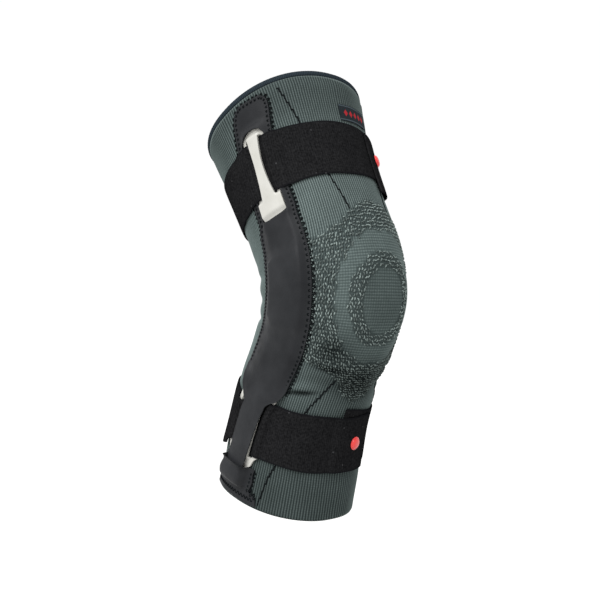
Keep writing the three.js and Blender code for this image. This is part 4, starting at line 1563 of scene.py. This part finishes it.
@dataclass(frozen=True)
class Strap:
    """An elastic strap once round the leg, through the slots of both stays and over its own start."""

    form: LegForm
    wardrobe: Wardrobe
    name: str
    place: float
    way: tuple[WayRow, ...]
    plate: Plate
    seam_edge: float
    stud_inset: float
    stud_rise: float
    mirrored: bool
    width: float = 47.0
    flare_at: float = 232.0
    flare_spread: float = 13.0
    flare: float = 0.0
    overlap_lead: float = 8.0
    overlap_ramp: float = 6.0
    wander: float = 0.35
    fade: float = 18.0
    column: float = 1.1
    rows: int = 22
    mean_radius: float = 60.0
    edge_thinning: float = 0.32
    stud_radius: float = 5.6
    stud_height: float = 2.4
    stud_sides: int = 48

    def crossing(self) -> tuple[Array, Array]:
        """Draw the strap's way under a stay's bar and over its rails.

        Returns:
            Distances from the stay's line, and the lift at each.
        """
        gap, plate = LAYERS.gap, self.plate
        widths = [0.0, plate.bar * plate.flare + 0.3, plate.slot - 0.1, plate.edge + gap]
        lifts = [gap, gap, LAYERS.over_rail, LAYERS.over_rail]
        last = plate.edge + gap
        if self.seam_edge > plate.edge:
            last = self.seam_edge + gap
            widths.append(last)
            lifts.append(gap + LAYERS.leather + gap)
        return np.array(widths + [last + 3]), np.array(lifts + [gap])

    def middle(self, angle: Array) -> Array:
        """Give the place of the strap's middle at an angle."""
        return self.place + table_value(self.way, "rise", angle)

    def crossings(self) -> list[tuple[int, float]]:
        """List the strap's meetings with the stays.

        Returns:
            A number and an angle for each.
        """
        met = []
        for k in range(3):
            sign = -1 if k % 2 else 1
            base = 360 * math.ceil(k / 2)
            first = base + sign * float(self.form.stay_angle(self.place))
            at = self.middle(np.array(first))
            met.append((k, base + sign * float(self.form.stay_angle(at))))
        return met

    def laid(self, angle: Array, share: Array) -> tuple[Array, Array, Array]:
        """Lay points of the strap.

        Args:
            angle: Angles along the strap's way.
            share: Shares across it, from -0.5 to 0.5.

        Returns:
            Their places, angles and lifts.
        """
        form = self.form
        at = self.middle(angle) + self.width * table_value(self.way, "width", angle) * share
        widths, lifts = self.crossing()
        met = self.crossings()
        nearest = np.argmin([np.abs(angle - where) for _, where in met], axis=0)
        distance = np.zeros_like(angle)
        line = np.zeros_like(angle)
        radius = form.size(np.full_like(angle, self.place), "side")
        for n, (k, where) in enumerate(met):
            here = nearest == n
            base, sign = 360 * math.ceil(k / 2), -1 if k % 2 else 1
            distance = np.where(here, np.radians(angle - where) * radius, distance)
            line = np.where(here, base + sign * form.stay_angle(at), line)
        follow = 1 - np.clip((np.abs(distance) - widths[-1]) / self.fade, 0, 1)
        across = angle + (line + form.width_to_angle(at, distance) - angle) * follow
        lift = np.interp(np.abs(distance), widths, lifts)
        start = self.way[0].at + 360
        lapped = np.clip((angle - start + self.overlap_lead) / self.overlap_ramp, 0, 1)
        lift = lift + lapped * (LAYERS.strap + LAYERS.gap)
        return at, across, lift

    def build(self) -> None:
        """Build the strap and its stud."""
        first, last = self.way[0].at, self.way[-1].at
        count = int(round(math.radians(last - first) * self.mean_radius / self.column))
        angles = np.linspace(first, last, count + 1)
        shares = np.linspace(-0.5, 0.5, self.rows + 1)
        shares = 0.5 * np.sign(shares) * np.abs(shares * 2) ** 0.85
        angle = np.broadcast_to(angles[None, :], (self.rows + 1, count + 1))
        share = np.broadcast_to(shares[:, None], angle.shape)
        length = np.radians(last - angle) * self.mean_radius
        place, across, lift = self.laid(angle, share)
        lift = soften(lift.T, 0.8).T
        lift = lift + self.flare * bell((angle - self.flare_at) / self.flare_spread) * (0.5 - share) ** 1.5
        edge = np.abs(share * 2)
        place = place + self.wander * np.sin(length * 0.11 + 1) * edge**2 * np.sign(share)
        thin = self.edge_thinning * edge**8
        outer = self.form.skin(place, across, lift + LAYERS.strap - thin)
        inner = self.form.skin(place, across, lift + thin)
        uv = np.stack([length, share * 2], -1)
        piece = shell(self.name + "_band", outer, inner, uv, mirrored=self.mirrored)
        round_edges(piece, 0.35)
        self.wardrobe.dress(piece, Slot.WEBBING, [self.name])
        self.stud()

    def stud(self) -> None:
        """Turn the domed stud with its thin flange."""
        angle = self.way[-1].at - float(self.form.width_to_angle(self.place, self.stud_inset))
        at = float(self.middle(np.array(angle))) + self.stud_rise
        seat = LAYERS.strap * 2 + LAYERS.gap * 3
        skin = self.form.skin
        along = skin(at + 3, angle, seat) - skin(at - 3, angle, seat)
        around = skin(at, angle + 3, seat) - skin(at, angle - 3, seat)
        up = np.cross(along, around)
        up /= np.linalg.norm(up)
        along /= np.linalg.norm(along)
        beside = np.cross(up, along)
        share = np.linspace(0, 1, 15)
        radius = np.concatenate([[1.0, 1.0, 0.97, 0.9, 0.88], 0.86 * np.cos(share * math.pi / 2)])[:-1]
        rise = np.concatenate([[0.0, 0.16, 0.2, 0.22, 0.3], 0.32 + 0.68 * np.sin(share * math.pi / 2)])[:-1]
        turn = np.arange(self.stud_sides) * math.tau / self.stud_sides
        ring = np.cos(turn)[None, :, None] * along + np.sin(turn)[None, :, None] * beside
        points = skin(at, angle, seat) + ring * (radius * self.stud_radius)[:, None, None]
        points = points + up * (rise * self.stud_height)[:, None, None]
        if self.mirrored:
            points = points[:, ::-1] * np.array([-1, 1, 1])
        piece = threads(self.name + "_snap_stud", [points])
        self.wardrobe.dress(piece, Slot.STUD, [self.name + "_stud"])


@dataclass(frozen=True)
class SideAssembly:
    """What one side of the leg carries: the stays, the leather pocket with its cap, and its stitching."""

    form: LegForm
    wardrobe: Wardrobe
    side: str
    thigh_place: float
    calf_place: float
    arm_half: float = 8.5
    shoulder: float = 9.0
    hinge_half: float = 23.0
    hinge_width: float = 13.0
    top_half: float = 17.0
    low_half: float = 23.0
    window_half: float = 10.9
    seam: float = 3.5
    strip_half: float = 8.4
    strip_tail: float = 19.0
    cap_half: float = 17.5
    cap_shoulder: float = 13.5
    patch_half: float = 26.0
    thread_radius: float = 0.52
    stitch_points: int = 8
    hinge_room: float = 1.5
    cap_mouth: float = 10.0
    on_knit: float = 0.25
    sill_drop: float = 16.0

    @property
    def mirrored(self) -> bool:
        """Say whether this is the inner side."""
        return self.side == "inner"

    def plate_row(
        self,
        place: float,
        plate: Plate,
        share: float,
        neck: float,
        bar: tuple[float, float],
        rail: tuple[float, float],
    ) -> SheetRow:
        """Draw a row across a slotted plate.

        Args:
            place: The row's place.
            plate: The plate's sizes.
            share: The share of its full width.
            neck: The bar's share of its half width.
            bar: The bar's low lift and thickness.
            rail: The rails' low lift and thickness.

        Returns:
            The row, with seven lines across.
        """
        half = (plate.edge * share, plate.slot * share, plate.drawn * share * neck)
        lean = plate.lean * share
        widths = (-half[0], -half[1], lean - half[2], lean, lean + half[2], half[1], half[0])
        lows = (rail[0],) * 2 + (bar[0],) * 3 + (rail[0],) * 2
        thickness = (rail[1],) * 2 + (bar[1],) * 3 + (rail[1],) * 2
        return SheetRow(place, widths, lows, thickness)

    def stay(self, name: str, plate: Plate, strap_place: float, way: int, nodes: Sequence[str]) -> None:
        """Build a stay from the hinge outwards.

        Args:
            name: The piece's name.
            plate: Its plate's sizes.
            strap_place: The place of the strap that it carries.
            way: 1 up the thigh and -1 down the shin.
            nodes: The CAD nodes that it replaces.
        """
        gap = LAYERS.gap
        arm, rail = (gap, LAYERS.stay), (gap, LAYERS.rail)
        solid, bridge = (gap, LAYERS.bar_top - gap), (LAYERS.under_bar, LAYERS.stay)
        start, end = strap_place - way * LAYERS.slot_half, strap_place + way * LAYERS.slot_half
        arm_share = self.arm_half / plate.edge
        beside_arm, beside_solid = (arm, solid) if plate.flush else (rail, rail)
        row = self.plate_row
        arm_end = start - way * (plate.block + self.shoulder)
        rows = [row(way * (self.hinge_half + gap), plate, arm_share, plate.flare, arm, arm)]
        rows.append(row(arm_end, plate, arm_share, plate.flare, arm, arm))
        rows.append(row(start - way * plate.block, plate, 1.0, plate.flare, arm, beside_arm))
        if plate.flush:
            rows.append(row(start - way * (plate.block - 3), plate, 1.0, plate.flare, solid, solid))
        rows.append(row(start - way * 2, plate, 1.0, plate.flare, solid, beside_solid))
        for t in np.linspace(0, 1, 9):
            neck = float(table_value(plate.shape, "width", t))
            rows.append(row(start + way * 2 * LAYERS.slot_half * t, plate, 1.0, neck, bridge, rail))
        neck = plate.shape[-1].width
        for k, (past, share) in enumerate(plate.end):
            rows.append(row(end + way * past, plate, share, neck, arm if k else solid, rail))
        if plate.tongue:
            rows.append(row(end + way * (plate.cross + plate.tongue), plate, 0.42, neck, arm, rail))
        rows.sort(key=lambda item: item.place)
        opening = (min(start, end), max(start, end))
        sheet = LaidSheet(
            self.form,
            tuple(rows),
            parts=(3, 4, 4, 4, 4, 3),
            step=0.9,
            along=0.7,
            opening=opening,
            opened=(1, 4),
            arch=0.5,
            sill=0.5,
            fade=5.0,
        )
        piece = sheet.mesh(name, self.mirrored)
        round_edges(piece, 0.45, 3)
        self.wardrobe.dress(piece, Slot.PLASTIC, nodes)

    def window(self) -> tuple[float, float]:
        """Give the places of the window's sill and top."""
        half = LAYERS.slot_half
        return self.thigh_place - half - self.sill_drop, self.thigh_place + half + THIGH_PLATE.cross

    def pocket_outline(self) -> Array:
        """Draw the pocket's outline from its strip's end up.

        Returns:
            Rows of a place, the front half width and the back one.
        """
        sill, _ = self.window()
        slot_top = self.calf_place + LAYERS.slot_half
        strip_end = self.calf_place - LAYERS.slot_half - self.strip_tail
        length = self.form.thigh_length
        rim = float(self.form.stay_angle(length)) * (-1 if self.mirrored else 1)
        top = length + float(self.form.slant(np.array(length), np.array(rim))) - 5
        strip, low, high = self.strip_half, self.low_half, self.top_half
        rows = (
            (strip_end, strip * 1.1, strip * 0.8),
            (strip_end + 12, strip * 1.18, strip * 0.8),
            (self.calf_place, strip * 1.32, strip * 0.68),
            (slot_top - 8, strip * 1.42, strip * 0.7),
            (slot_top - 3, low * 0.5, low * 0.45),
            (slot_top + 1, low * 0.6, low * 0.64),
            (slot_top + 4, low * 0.8, low * 0.78),
            (slot_top + 8, low * 0.89, low * 0.92),
            (slot_top + 14, low * 0.92, low * 1.08),
            (slot_top + 23, low * 0.86, low * 1.14),
            (-self.hinge_half - 10.5, low * 0.84, low * 1.13),
            (-self.hinge_half - self.hinge_room, low * 0.84, low * 1.12),
            (self.hinge_half + self.hinge_room, high * 1.03, high * 1.42),
            (sill - 7, high * 0.94, high * 1.2),
            (sill, high, high),
            (top - 11, high, high),
            (top - 5, high * 0.93, high * 0.93),
            (top - 2, high * 0.78, high * 0.78),
            (top, high * 0.55, high * 0.55),
        )
        return np.array(rows)

    def pocket_row(
        self, front: float, back: float, front_window: float, back_window: float
    ) -> tuple[float, ...]:
        """Draw a row across the pocket.

        Args:
            front: The half width in front of the stay's line.
            back: The half width behind it.
            front_window: The raised part's half width in front.
            back_window: The raised part's half width behind.

        Returns:
            Seven widths, from the front edge to the back one.
        """
        front_seam = max(front - self.seam * 0.75, front_window + 0.4 * (front - front_window))
        back_seam = max(back - self.seam, back_window + 0.4 * (back - back_window))
        return (-front, -front_seam, -front_window, (back - front) * 0.25, back_window, back_seam, back)

    def pocket(self) -> None:
        """Build the pocket: sewn flat along its edges, raised over the stay, open for the thigh strap."""
        gap = LAYERS.gap
        sill, top = self.window()
        places, fronts, backs = self.pocket_outline().T
        slot_top = self.calf_place + LAYERS.slot_half
        hinge_end = self.hinge_half + self.hinge_room
        over_hinge = gap + LAYERS.hinge + gap * 2
        over_bar = LAYERS.bar_top + gap
        rises = (
            (places[0], over_bar, over_bar),
            (slot_top - 3, over_bar, over_bar),
            (slot_top + 2, over_bar, over_bar * 0.9),
            (slot_top + 8, LAYERS.over_arm * 1.1, LAYERS.over_arm),
            (slot_top + 14, LAYERS.over_arm, LAYERS.over_arm * 0.5),
            (slot_top + 23, LAYERS.over_arm, gap),
            (-hinge_end - 9, LAYERS.over_arm, gap),
            (-hinge_end, over_hinge, gap),
            (hinge_end, over_hinge, gap),
            (hinge_end + 8, LAYERS.over_arm, gap),
            (sill, LAYERS.over_arm, gap),
            (sill + 2, LAYERS.over_rail, gap),
            (top - 2, LAYERS.over_rail + 0.3, gap),
            (top, over_bar * 0.9, gap),
            (top + 4, LAYERS.over_arm, gap),
            (top + 8, gap, gap),
            (places[-1], gap, gap),
        )
        table = np.array(rises)
        even = np.arange(places[0], places[-1], 3)
        rows = []
        for place in np.unique(np.round(np.concatenate([places, table[:, 0], even]), 2)):
            front, back = (float(np.interp(place, places, halves)) for halves in (fronts, backs))
            rise = float(np.interp(place, table[:, 0], table[:, 1]))
            rim = float(np.interp(place, table[:, 0], table[:, 2]))
            near_top = float(np.clip((place - top + 6) / 6, 0, 1))
            window = self.window_half * (1 - 0.4 * near_top**2)
            if abs(place) < hinge_end:
                window = self.hinge_width + 1
            covered = place < sill - 3 or place > top + 2
            inner = (min(window, half * 0.6) if covered else window for half in (front, back))
            widths = self.pocket_row(front, back, *inner)
            lows = (rim, rim, rise, rise, rise, rim, rim)
            rows.append(SheetRow(float(place), widths, lows, (LAYERS.leather,) * 7))
        sheet = LaidSheet(
            self.form,
            tuple(rows),
            parts=(3, 5, 6, 6, 5, 3),
            step=1.3,
            along=1.4,
            across=0.8,
            opening=(sill, top),
            opened=(2, 3),
            arch=1.6,
            sill=1.6,
            fade=9.0,
            ripple=0.1,
        )
        piece = sheet.mesh(self.side + "_leather_pocket", self.mirrored)
        round_edges(piece, 0.4)
        self.wardrobe.dress(piece, Slot.LEATHER, [self.side + "_pocket"])

    def cap(self) -> None:
        """Build the cap over the strip's end, its folded lip and the patch on the rim."""
        gap = LAYERS.gap
        lifted = LAYERS.bar_top + gap * 2 + LAYERS.leather
        mouth = self.calf_place - LAYERS.slot_half - self.cap_mouth
        rim = -self.form.shin_length + 1.2
        patch = rim + 8
        end = self.calf_place - LAYERS.slot_half - self.strip_tail - 2
        over = LAYERS.over_rail
        measures = (
            (rim, gap, gap, self.patch_half),
            (patch, gap, gap, self.patch_half * 0.92),
            (patch + 2, gap, gap, self.cap_half * 0.9),
            (patch + 2 + (end - patch - 2) * 0.35, lifted + 0.6, over + 3.4, self.cap_half * 1.02),
            (end, lifted + 1.9, over + 4.4, self.cap_half * 1.06),
            ((end + mouth) / 2, lifted + 1.2, over + 1.6, self.cap_half),
            (mouth - 5, lifted + 0.4, over + 1.0, self.cap_half),
            (mouth - 2, lifted + 0.3, over + 0.8, self.cap_half),
            (mouth, lifted + 2.2, over + 2.6, self.cap_half * 1.05),
        )
        rows = []
        for place, middle, shoulder, half in measures:
            squeeze = min(1.0, half * 0.96 / self.cap_half)
            widths = (self.cap_shoulder, self.cap_shoulder - 2.5, self.strip_half + 0.8)
            inner = tuple(width * squeeze for width in widths)
            widths = (-half, *(-w for w in inner), 0.0, *inner[::-1], half)
            side = (gap, gap, shoulder, middle)
            rows.append(SheetRow(place, widths, (*side, middle, *side[::-1]), (LAYERS.leather,) * 9))
        sheet = LaidSheet(
            self.form,
            tuple(rows),
            parts=(3, 3, 4, 5, 5, 4, 3, 3),
            step=1.1,
            along=1.6,
            across=1.2,
            ripple=0.08,
            on_rim=True,
        )
        piece = sheet.mesh(self.side + "_cap_leather", self.mirrored)
        round_edges(piece, 0.4)
        self.wardrobe.dress(piece, Slot.LEATHER, [self.side + "_pocket_cap"])

    def sewn_path(self, path: Array, pitch: float) -> Array:
        """Space points evenly along a path of widths and places.

        Args:
            path: Pairs of a width and a place.
            pitch: The spacing.

        Returns:
            The evenly spaced pairs.
        """
        run = np.concatenate([[0], np.cumsum(np.linalg.norm(np.diff(path, axis=0), axis=1))])
        even = np.linspace(0, run[-1], int(round(run[-1] / pitch)) + 1)
        return np.stack([np.interp(even, run, path[:, k]) for k in (0, 1)], 1)

    def zigzag(self, path: Array, reach: float, pitch: float, out_lift: float, in_lift: float) -> Array:
        """Sew an overlock stitch along a leather edge.

        Args:
            path: The edge, as pairs of a width and a place, with the leather on its left.
            reach: How far it goes to each side.
            pitch: The length of a stitch.
            out_lift: The thread's lift on the knit.
            in_lift: Its lift on the leather.

        Returns:
            The swept thread.
        """
        even = self.sewn_path(path, pitch / self.stitch_points)
        run = np.gradient(even, axis=0)
        run /= np.linalg.norm(run, axis=1, keepdims=True)
        beside = np.stack([run[:, 1], -run[:, 0]], 1)
        phase = np.arange(len(even)) / self.stitch_points * math.tau
        swing = np.clip(1.25 * np.sin(phase), -1, 1)
        spot = even + beside * (swing * reach)[:, None]
        share = smooth_step(-0.35, 0.35, swing)
        lift = in_lift + (out_lift - in_lift) * share
        return self.thread(spot, lift)

    def thread(self, spot: Array, lift: Array) -> Array:
        """Sweep a thread.

        Args:
            spot: Pairs of a width and a place.
            lift: The thread's lift at each.

        Returns:
            The thread's points, path by sides.
        """
        place = spot[:, 1]
        angle = self.form.stay_angle(place) + self.form.width_to_angle(place, spot[:, 0])
        path, normals = self.form.raised_path(place, angle, lift)
        swept = ring_section(path, normals, self.thread_radius, self.thread_radius * 0.8, 6)
        return swept[:, ::-1] * np.array([-1, 1, 1]) if self.mirrored else swept

    def stitching(self) -> None:
        """Sew the pocket and the cap down."""
        places, fronts, backs = self.pocket_outline().T
        fine = np.arange(places[0], places[-1] + 0.01, 0.8)
        front, back = (soften(np.interp(fine, places, halves), 1.8) for halves in (fronts, backs))
        kept = fine > self.calf_place + LAYERS.slot_half + 11
        right = np.stack([back[kept], fine[kept]], 1)
        left = np.stack([-front[kept], fine[kept]], 1)
        outline = np.concatenate([right, left[::-1]])
        on_leather = LAYERS.gap + LAYERS.leather + 0.15
        sewn = [self.zigzag(outline, 2.6, 3.7, self.on_knit, on_leather)]
        rim = -self.form.shin_length + 2.5
        mouth = self.calf_place - LAYERS.slot_half - self.cap_mouth - 2
        cap_edge = np.array(
            [
                (self.patch_half * 0.94, rim + 6.5),
                (self.cap_half * 0.98, rim + 9.5),
                (self.cap_half, (rim + 9 + mouth) / 2),
                (self.cap_half, mouth),
            ]
        )
        for sign in (1, -1):
            edge = cap_edge * np.array([sign, 1])
            edge[:, 1] = self.form.along_rim(edge[:, 1], edge[:, 0])
            edge = edge if sign > 0 else edge[::-1]
            sewn.append(self.zigzag(edge, 1.9, 3.6, self.on_knit, on_leather))
        across = np.linspace(-self.patch_half * 0.86, self.patch_half * 0.86, 40)
        flat = np.stack([across, self.form.along_rim(np.full(40, rim + 3.6), across)], 1)
        sunk = LAYERS.gap + LAYERS.leather
        sewn.append(self.zigzag(flat, 1.1, 2.9, sunk, sunk))
        piece = threads(self.side + "_overlock", sewn)
        self.wardrobe.dress(piece, Slot.LEATHER, [], SewingThread())

    def build(self) -> None:
        """Build this side from the sleeve outwards."""
        thigh, calf = self.side + "_thigh_stay", self.side + "_calf_stay"
        self.stay(thigh + "_plate", THIGH_PLATE, self.thigh_place, 1, [thigh])
        self.stay(calf + "_plate", CALF_PLATE, self.calf_place, -1, [calf])
        self.pocket()
        self.cap()
        self.stitching()
        hinge = bpy.data.objects[self.side + "_hinge"]
        for slot in hinge.material_slots:
            slot.link = "OBJECT"
            slot.material = self.wardrobe.material(FINISHES[Slot.STEEL])


@dataclass(frozen=True)
class WovenLabel:
    """The plain woven label sewn to the inner front of the thigh."""

    form: LegForm
    wardrobe: Wardrobe
    angle: float = -14.0
    bottom: float = 0.0
    width: float = 34.0
    height: float = 14.5
    thickness: float = 0.6
    columns: int = 26
    rows: int = 10

    def build(self) -> None:
        """Build the label."""
        shares = np.linspace(-0.5, 0.5, self.columns + 1)
        heights = np.linspace(-0.5, 0.5, self.rows + 1)
        height, share = np.meshgrid(heights, shares, indexing="ij")
        place = self.bottom + self.height * (height + 0.5)
        angle = self.angle + self.form.width_to_angle(place, self.width * share)
        lift = LAYERS.gap + 0.1 * np.sin(share * 9) * np.abs(height * 2)
        outer = self.form.skin(place, angle, lift + self.thickness)
        inner = self.form.skin(place, angle, lift)
        uv = np.stack([self.width * share, self.height * height], -1)
        piece = shell("woven_label_cloth", outer, inner, uv)
        round_edges(piece, 0.2)
        self.wardrobe.dress(piece, Slot.LABEL, ["woven_label"])


SHAPING_LINES = (
    (
        SeamRow(43, 21),
        SeamRow(55, 23),
        SeamRow(72, 27),
        SeamRow(124, 37),
        SeamRow(147, 43),
        SeamRow(158, 47),
    ),
    (
        SeamRow(-177, 70),
        SeamRow(-153, 66),
        SeamRow(-137, 60),
        SeamRow(-86, 42),
        SeamRow(-66, 30),
        SeamRow(-57, 26),
    ),
)


@dataclass(frozen=True)
class ShapingSeams:
    """The stepped dark lines where the knit is narrowed, on both sides of the front."""

    form: LegForm
    wardrobe: Wardrobe
    sleeve: KnitSleeve
    run: float = 3.4
    radius: float = 0.6

    def line(self, corners: Sequence[SeamRow], sign: int) -> Array:
        """Step one line down the ribs.

        Args:
            corners: The line's corners, from the lowest up.
            sign: 1 on the outer side and -1 on the inner.

        Returns:
            The swept line.
        """
        places = np.array([row.place for row in corners], float)
        angles = np.array([row.angle for row in corners], float)
        steps = np.arange(places[0], places[-1], self.run)
        at = np.interp(steps, places, angles) + 0.45 * (np.arange(len(steps)) % 2)
        place = np.repeat(steps, 2)[1:]
        angle = np.repeat(at, 2)[:-1]
        fine = np.linspace(0, len(place) - 1, len(place) * 5)
        place = np.interp(fine, np.arange(len(place)), place)
        angle = np.interp(fine, np.arange(len(angle)), angle) * sign
        lift = 0.1 + self.sleeve.form_relief(place, angle)
        path, normals = self.form.raised_path(place, angle, lift)
        return ring_section(path, normals, self.radius, self.radius * 0.7, 6)

    def build(self) -> None:
        """Sew the four lines."""
        lines = [self.line(corners, sign) for corners in SHAPING_LINES for sign in (1, -1)]
        piece = threads("shaping_seams", lines)
        self.wardrobe.dress(piece, Slot.KNIT, [], SewingThread())


@dataclass(frozen=True)
class Studio:
    """A pale floor, soft light and the camera of the photograph. Its distances are metres."""

    floor_z: float = -0.42
    camera_azimuth: float = -45.0
    camera_elevation: float = -1.0
    camera_distance: float = 0.8
    lens: float = 57.6
    shift_x: float = -0.0533
    shift_y: float = -0.0142
    light_azimuth: float = -76.0
    light_elevation: float = 45.0
    light_spread: float = 50.0
    light_power: float = 4.1
    light_distance: float = 2.0
    room_light: float = 1.02
    room_colour: str = "#ffffff"
    floor_colour: str = "#cdcdcc"
    floor_half: float = 20.0

    def aimed(
        self, data: bpy.types.ID, azimuth: float, elevation: float, distance: float
    ) -> bpy.types.Object:
        """Place a camera or a light so that it looks at the knee.

        Args:
            data: The camera's or light's data, which also names the object.
            azimuth: Degrees round the knee, 0 in front of it.
            elevation: Degrees above the floor's plane.
            distance: Metres from the knee.

        Returns:
            The object, in the scene.
        """
        around, up = math.radians(azimuth), math.radians(elevation)
        away = Vector((math.sin(around) * math.cos(up), -math.cos(around) * math.cos(up), math.sin(up)))
        placed = bpy.data.objects.new(data.name, data)
        placed.location = away * distance
        placed.rotation_euler = (-away).to_track_quat("-Z", "Y").to_euler()
        bpy.context.scene.collection.objects.link(placed)
        return placed

    def camera(self) -> None:
        """Create the camera and make it the scene's."""
        data = bpy.data.cameras.new("studio_camera")
        data.lens = self.lens
        data.sensor_width = 36.0
        data.shift_x = self.shift_x
        data.shift_y = self.shift_y
        data.clip_end = 50.0
        bpy.context.scene.camera = self.aimed(
            data, self.camera_azimuth, self.camera_elevation, self.camera_distance
        )

    def sun(self) -> None:
        """Light the knee from the left of the camera with a broad soft light, evenly over the floor."""
        data = bpy.data.lights.new("soft_light", "SUN")
        data.angle = math.radians(self.light_spread)
        data.energy = self.light_power
        self.aimed(data, self.light_azimuth, self.light_elevation, self.light_distance)

    def floor(self) -> None:
        """Lay the plain pale floor."""
        side, z = self.floor_half / MM, self.floor_z / MM
        corners = np.array([[-side, -side, z], [side, -side, z], [side, side, z], [-side, side, z]])
        floor = mesh_object("studio_floor", corners, np.array([[0, 1, 2, 3]]))
        made, tree = new_material("pale_floor")
        shader = wire(tree, "BsdfPrincipled", {"Base Color": linear(self.floor_colour), "Roughness": 0.9})
        wire(tree, "OutputMaterial", {0: shader})
        floor.data.materials.append(made)

    def world(self) -> None:
        """Light the room evenly in white."""
        room = bpy.data.worlds.new("studio_room")
        room.use_nodes = True
        tree = room.node_tree
        tree.nodes.clear()
        light = wire(tree, "Background", {"Color": linear(self.room_colour), "Strength": self.room_light})
        wire(tree, "OutputWorld", {0: light})
        bpy.context.scene.world = room

    def build(self) -> None:
        """Set up the whole studio."""
        self.camera()
        self.floor()
        self.world()
        self.sun()
        bpy.context.scene.view_settings.view_transform = "Standard"


def main() -> None:
    """Build each sub-assembly in order."""
    logging.basicConfig(level=logging.INFO, format="%(message)s")
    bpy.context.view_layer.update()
    form = LegForm()
    wardrobe = Wardrobe()
    Studio().build()
    sleeve = KnitSleeve(form, wardrobe)
    sleeve.build()
    TopWelt(form, wardrobe).build()
    ShapingSeams(form, wardrobe, sleeve).build()
    thigh_strap = Strap(
        form,
        wardrobe,
        "thigh_strap",
        place=99.0,
        way=THIGH_STRAP_WAY,
        plate=THIGH_PLATE,
        seam_edge=17.68,
        stud_inset=12.5,
        stud_rise=6.0,
        mirrored=False,
    )
    calf_strap = Strap(
        form,
        wardrobe,
        "calf_strap",
        place=-114.0,
        way=CALF_STRAP_WAY,
        plate=CALF_PLATE,
        seam_edge=0.0,
        stud_inset=16.0,
        stud_rise=0.0,
        mirrored=True,
        flare=3.2,
    )
    thigh_line = float(form.stay_angle(thigh_strap.place))
    calf_line = float(form.stay_angle(calf_strap.place))
    meetings = {
        "outer": (thigh_strap.middle(thigh_line), calf_strap.middle(360 - calf_line)),
        "inner": (thigh_strap.middle(360 - thigh_line), calf_strap.middle(calf_line)),
    }
    for side, (thigh_place, calf_place) in meetings.items():
        SideAssembly(form, wardrobe, side, float(thigh_place), float(calf_place)).build()
    thigh_strap.build()
    calf_strap.build()
    label_bottom = float(thigh_strap.middle(WovenLabel.angle)) + thigh_strap.width / 2 + 4
    WovenLabel(form, wardrobe, bottom=label_bottom).build()


if __name__ == "__main__":
    main()
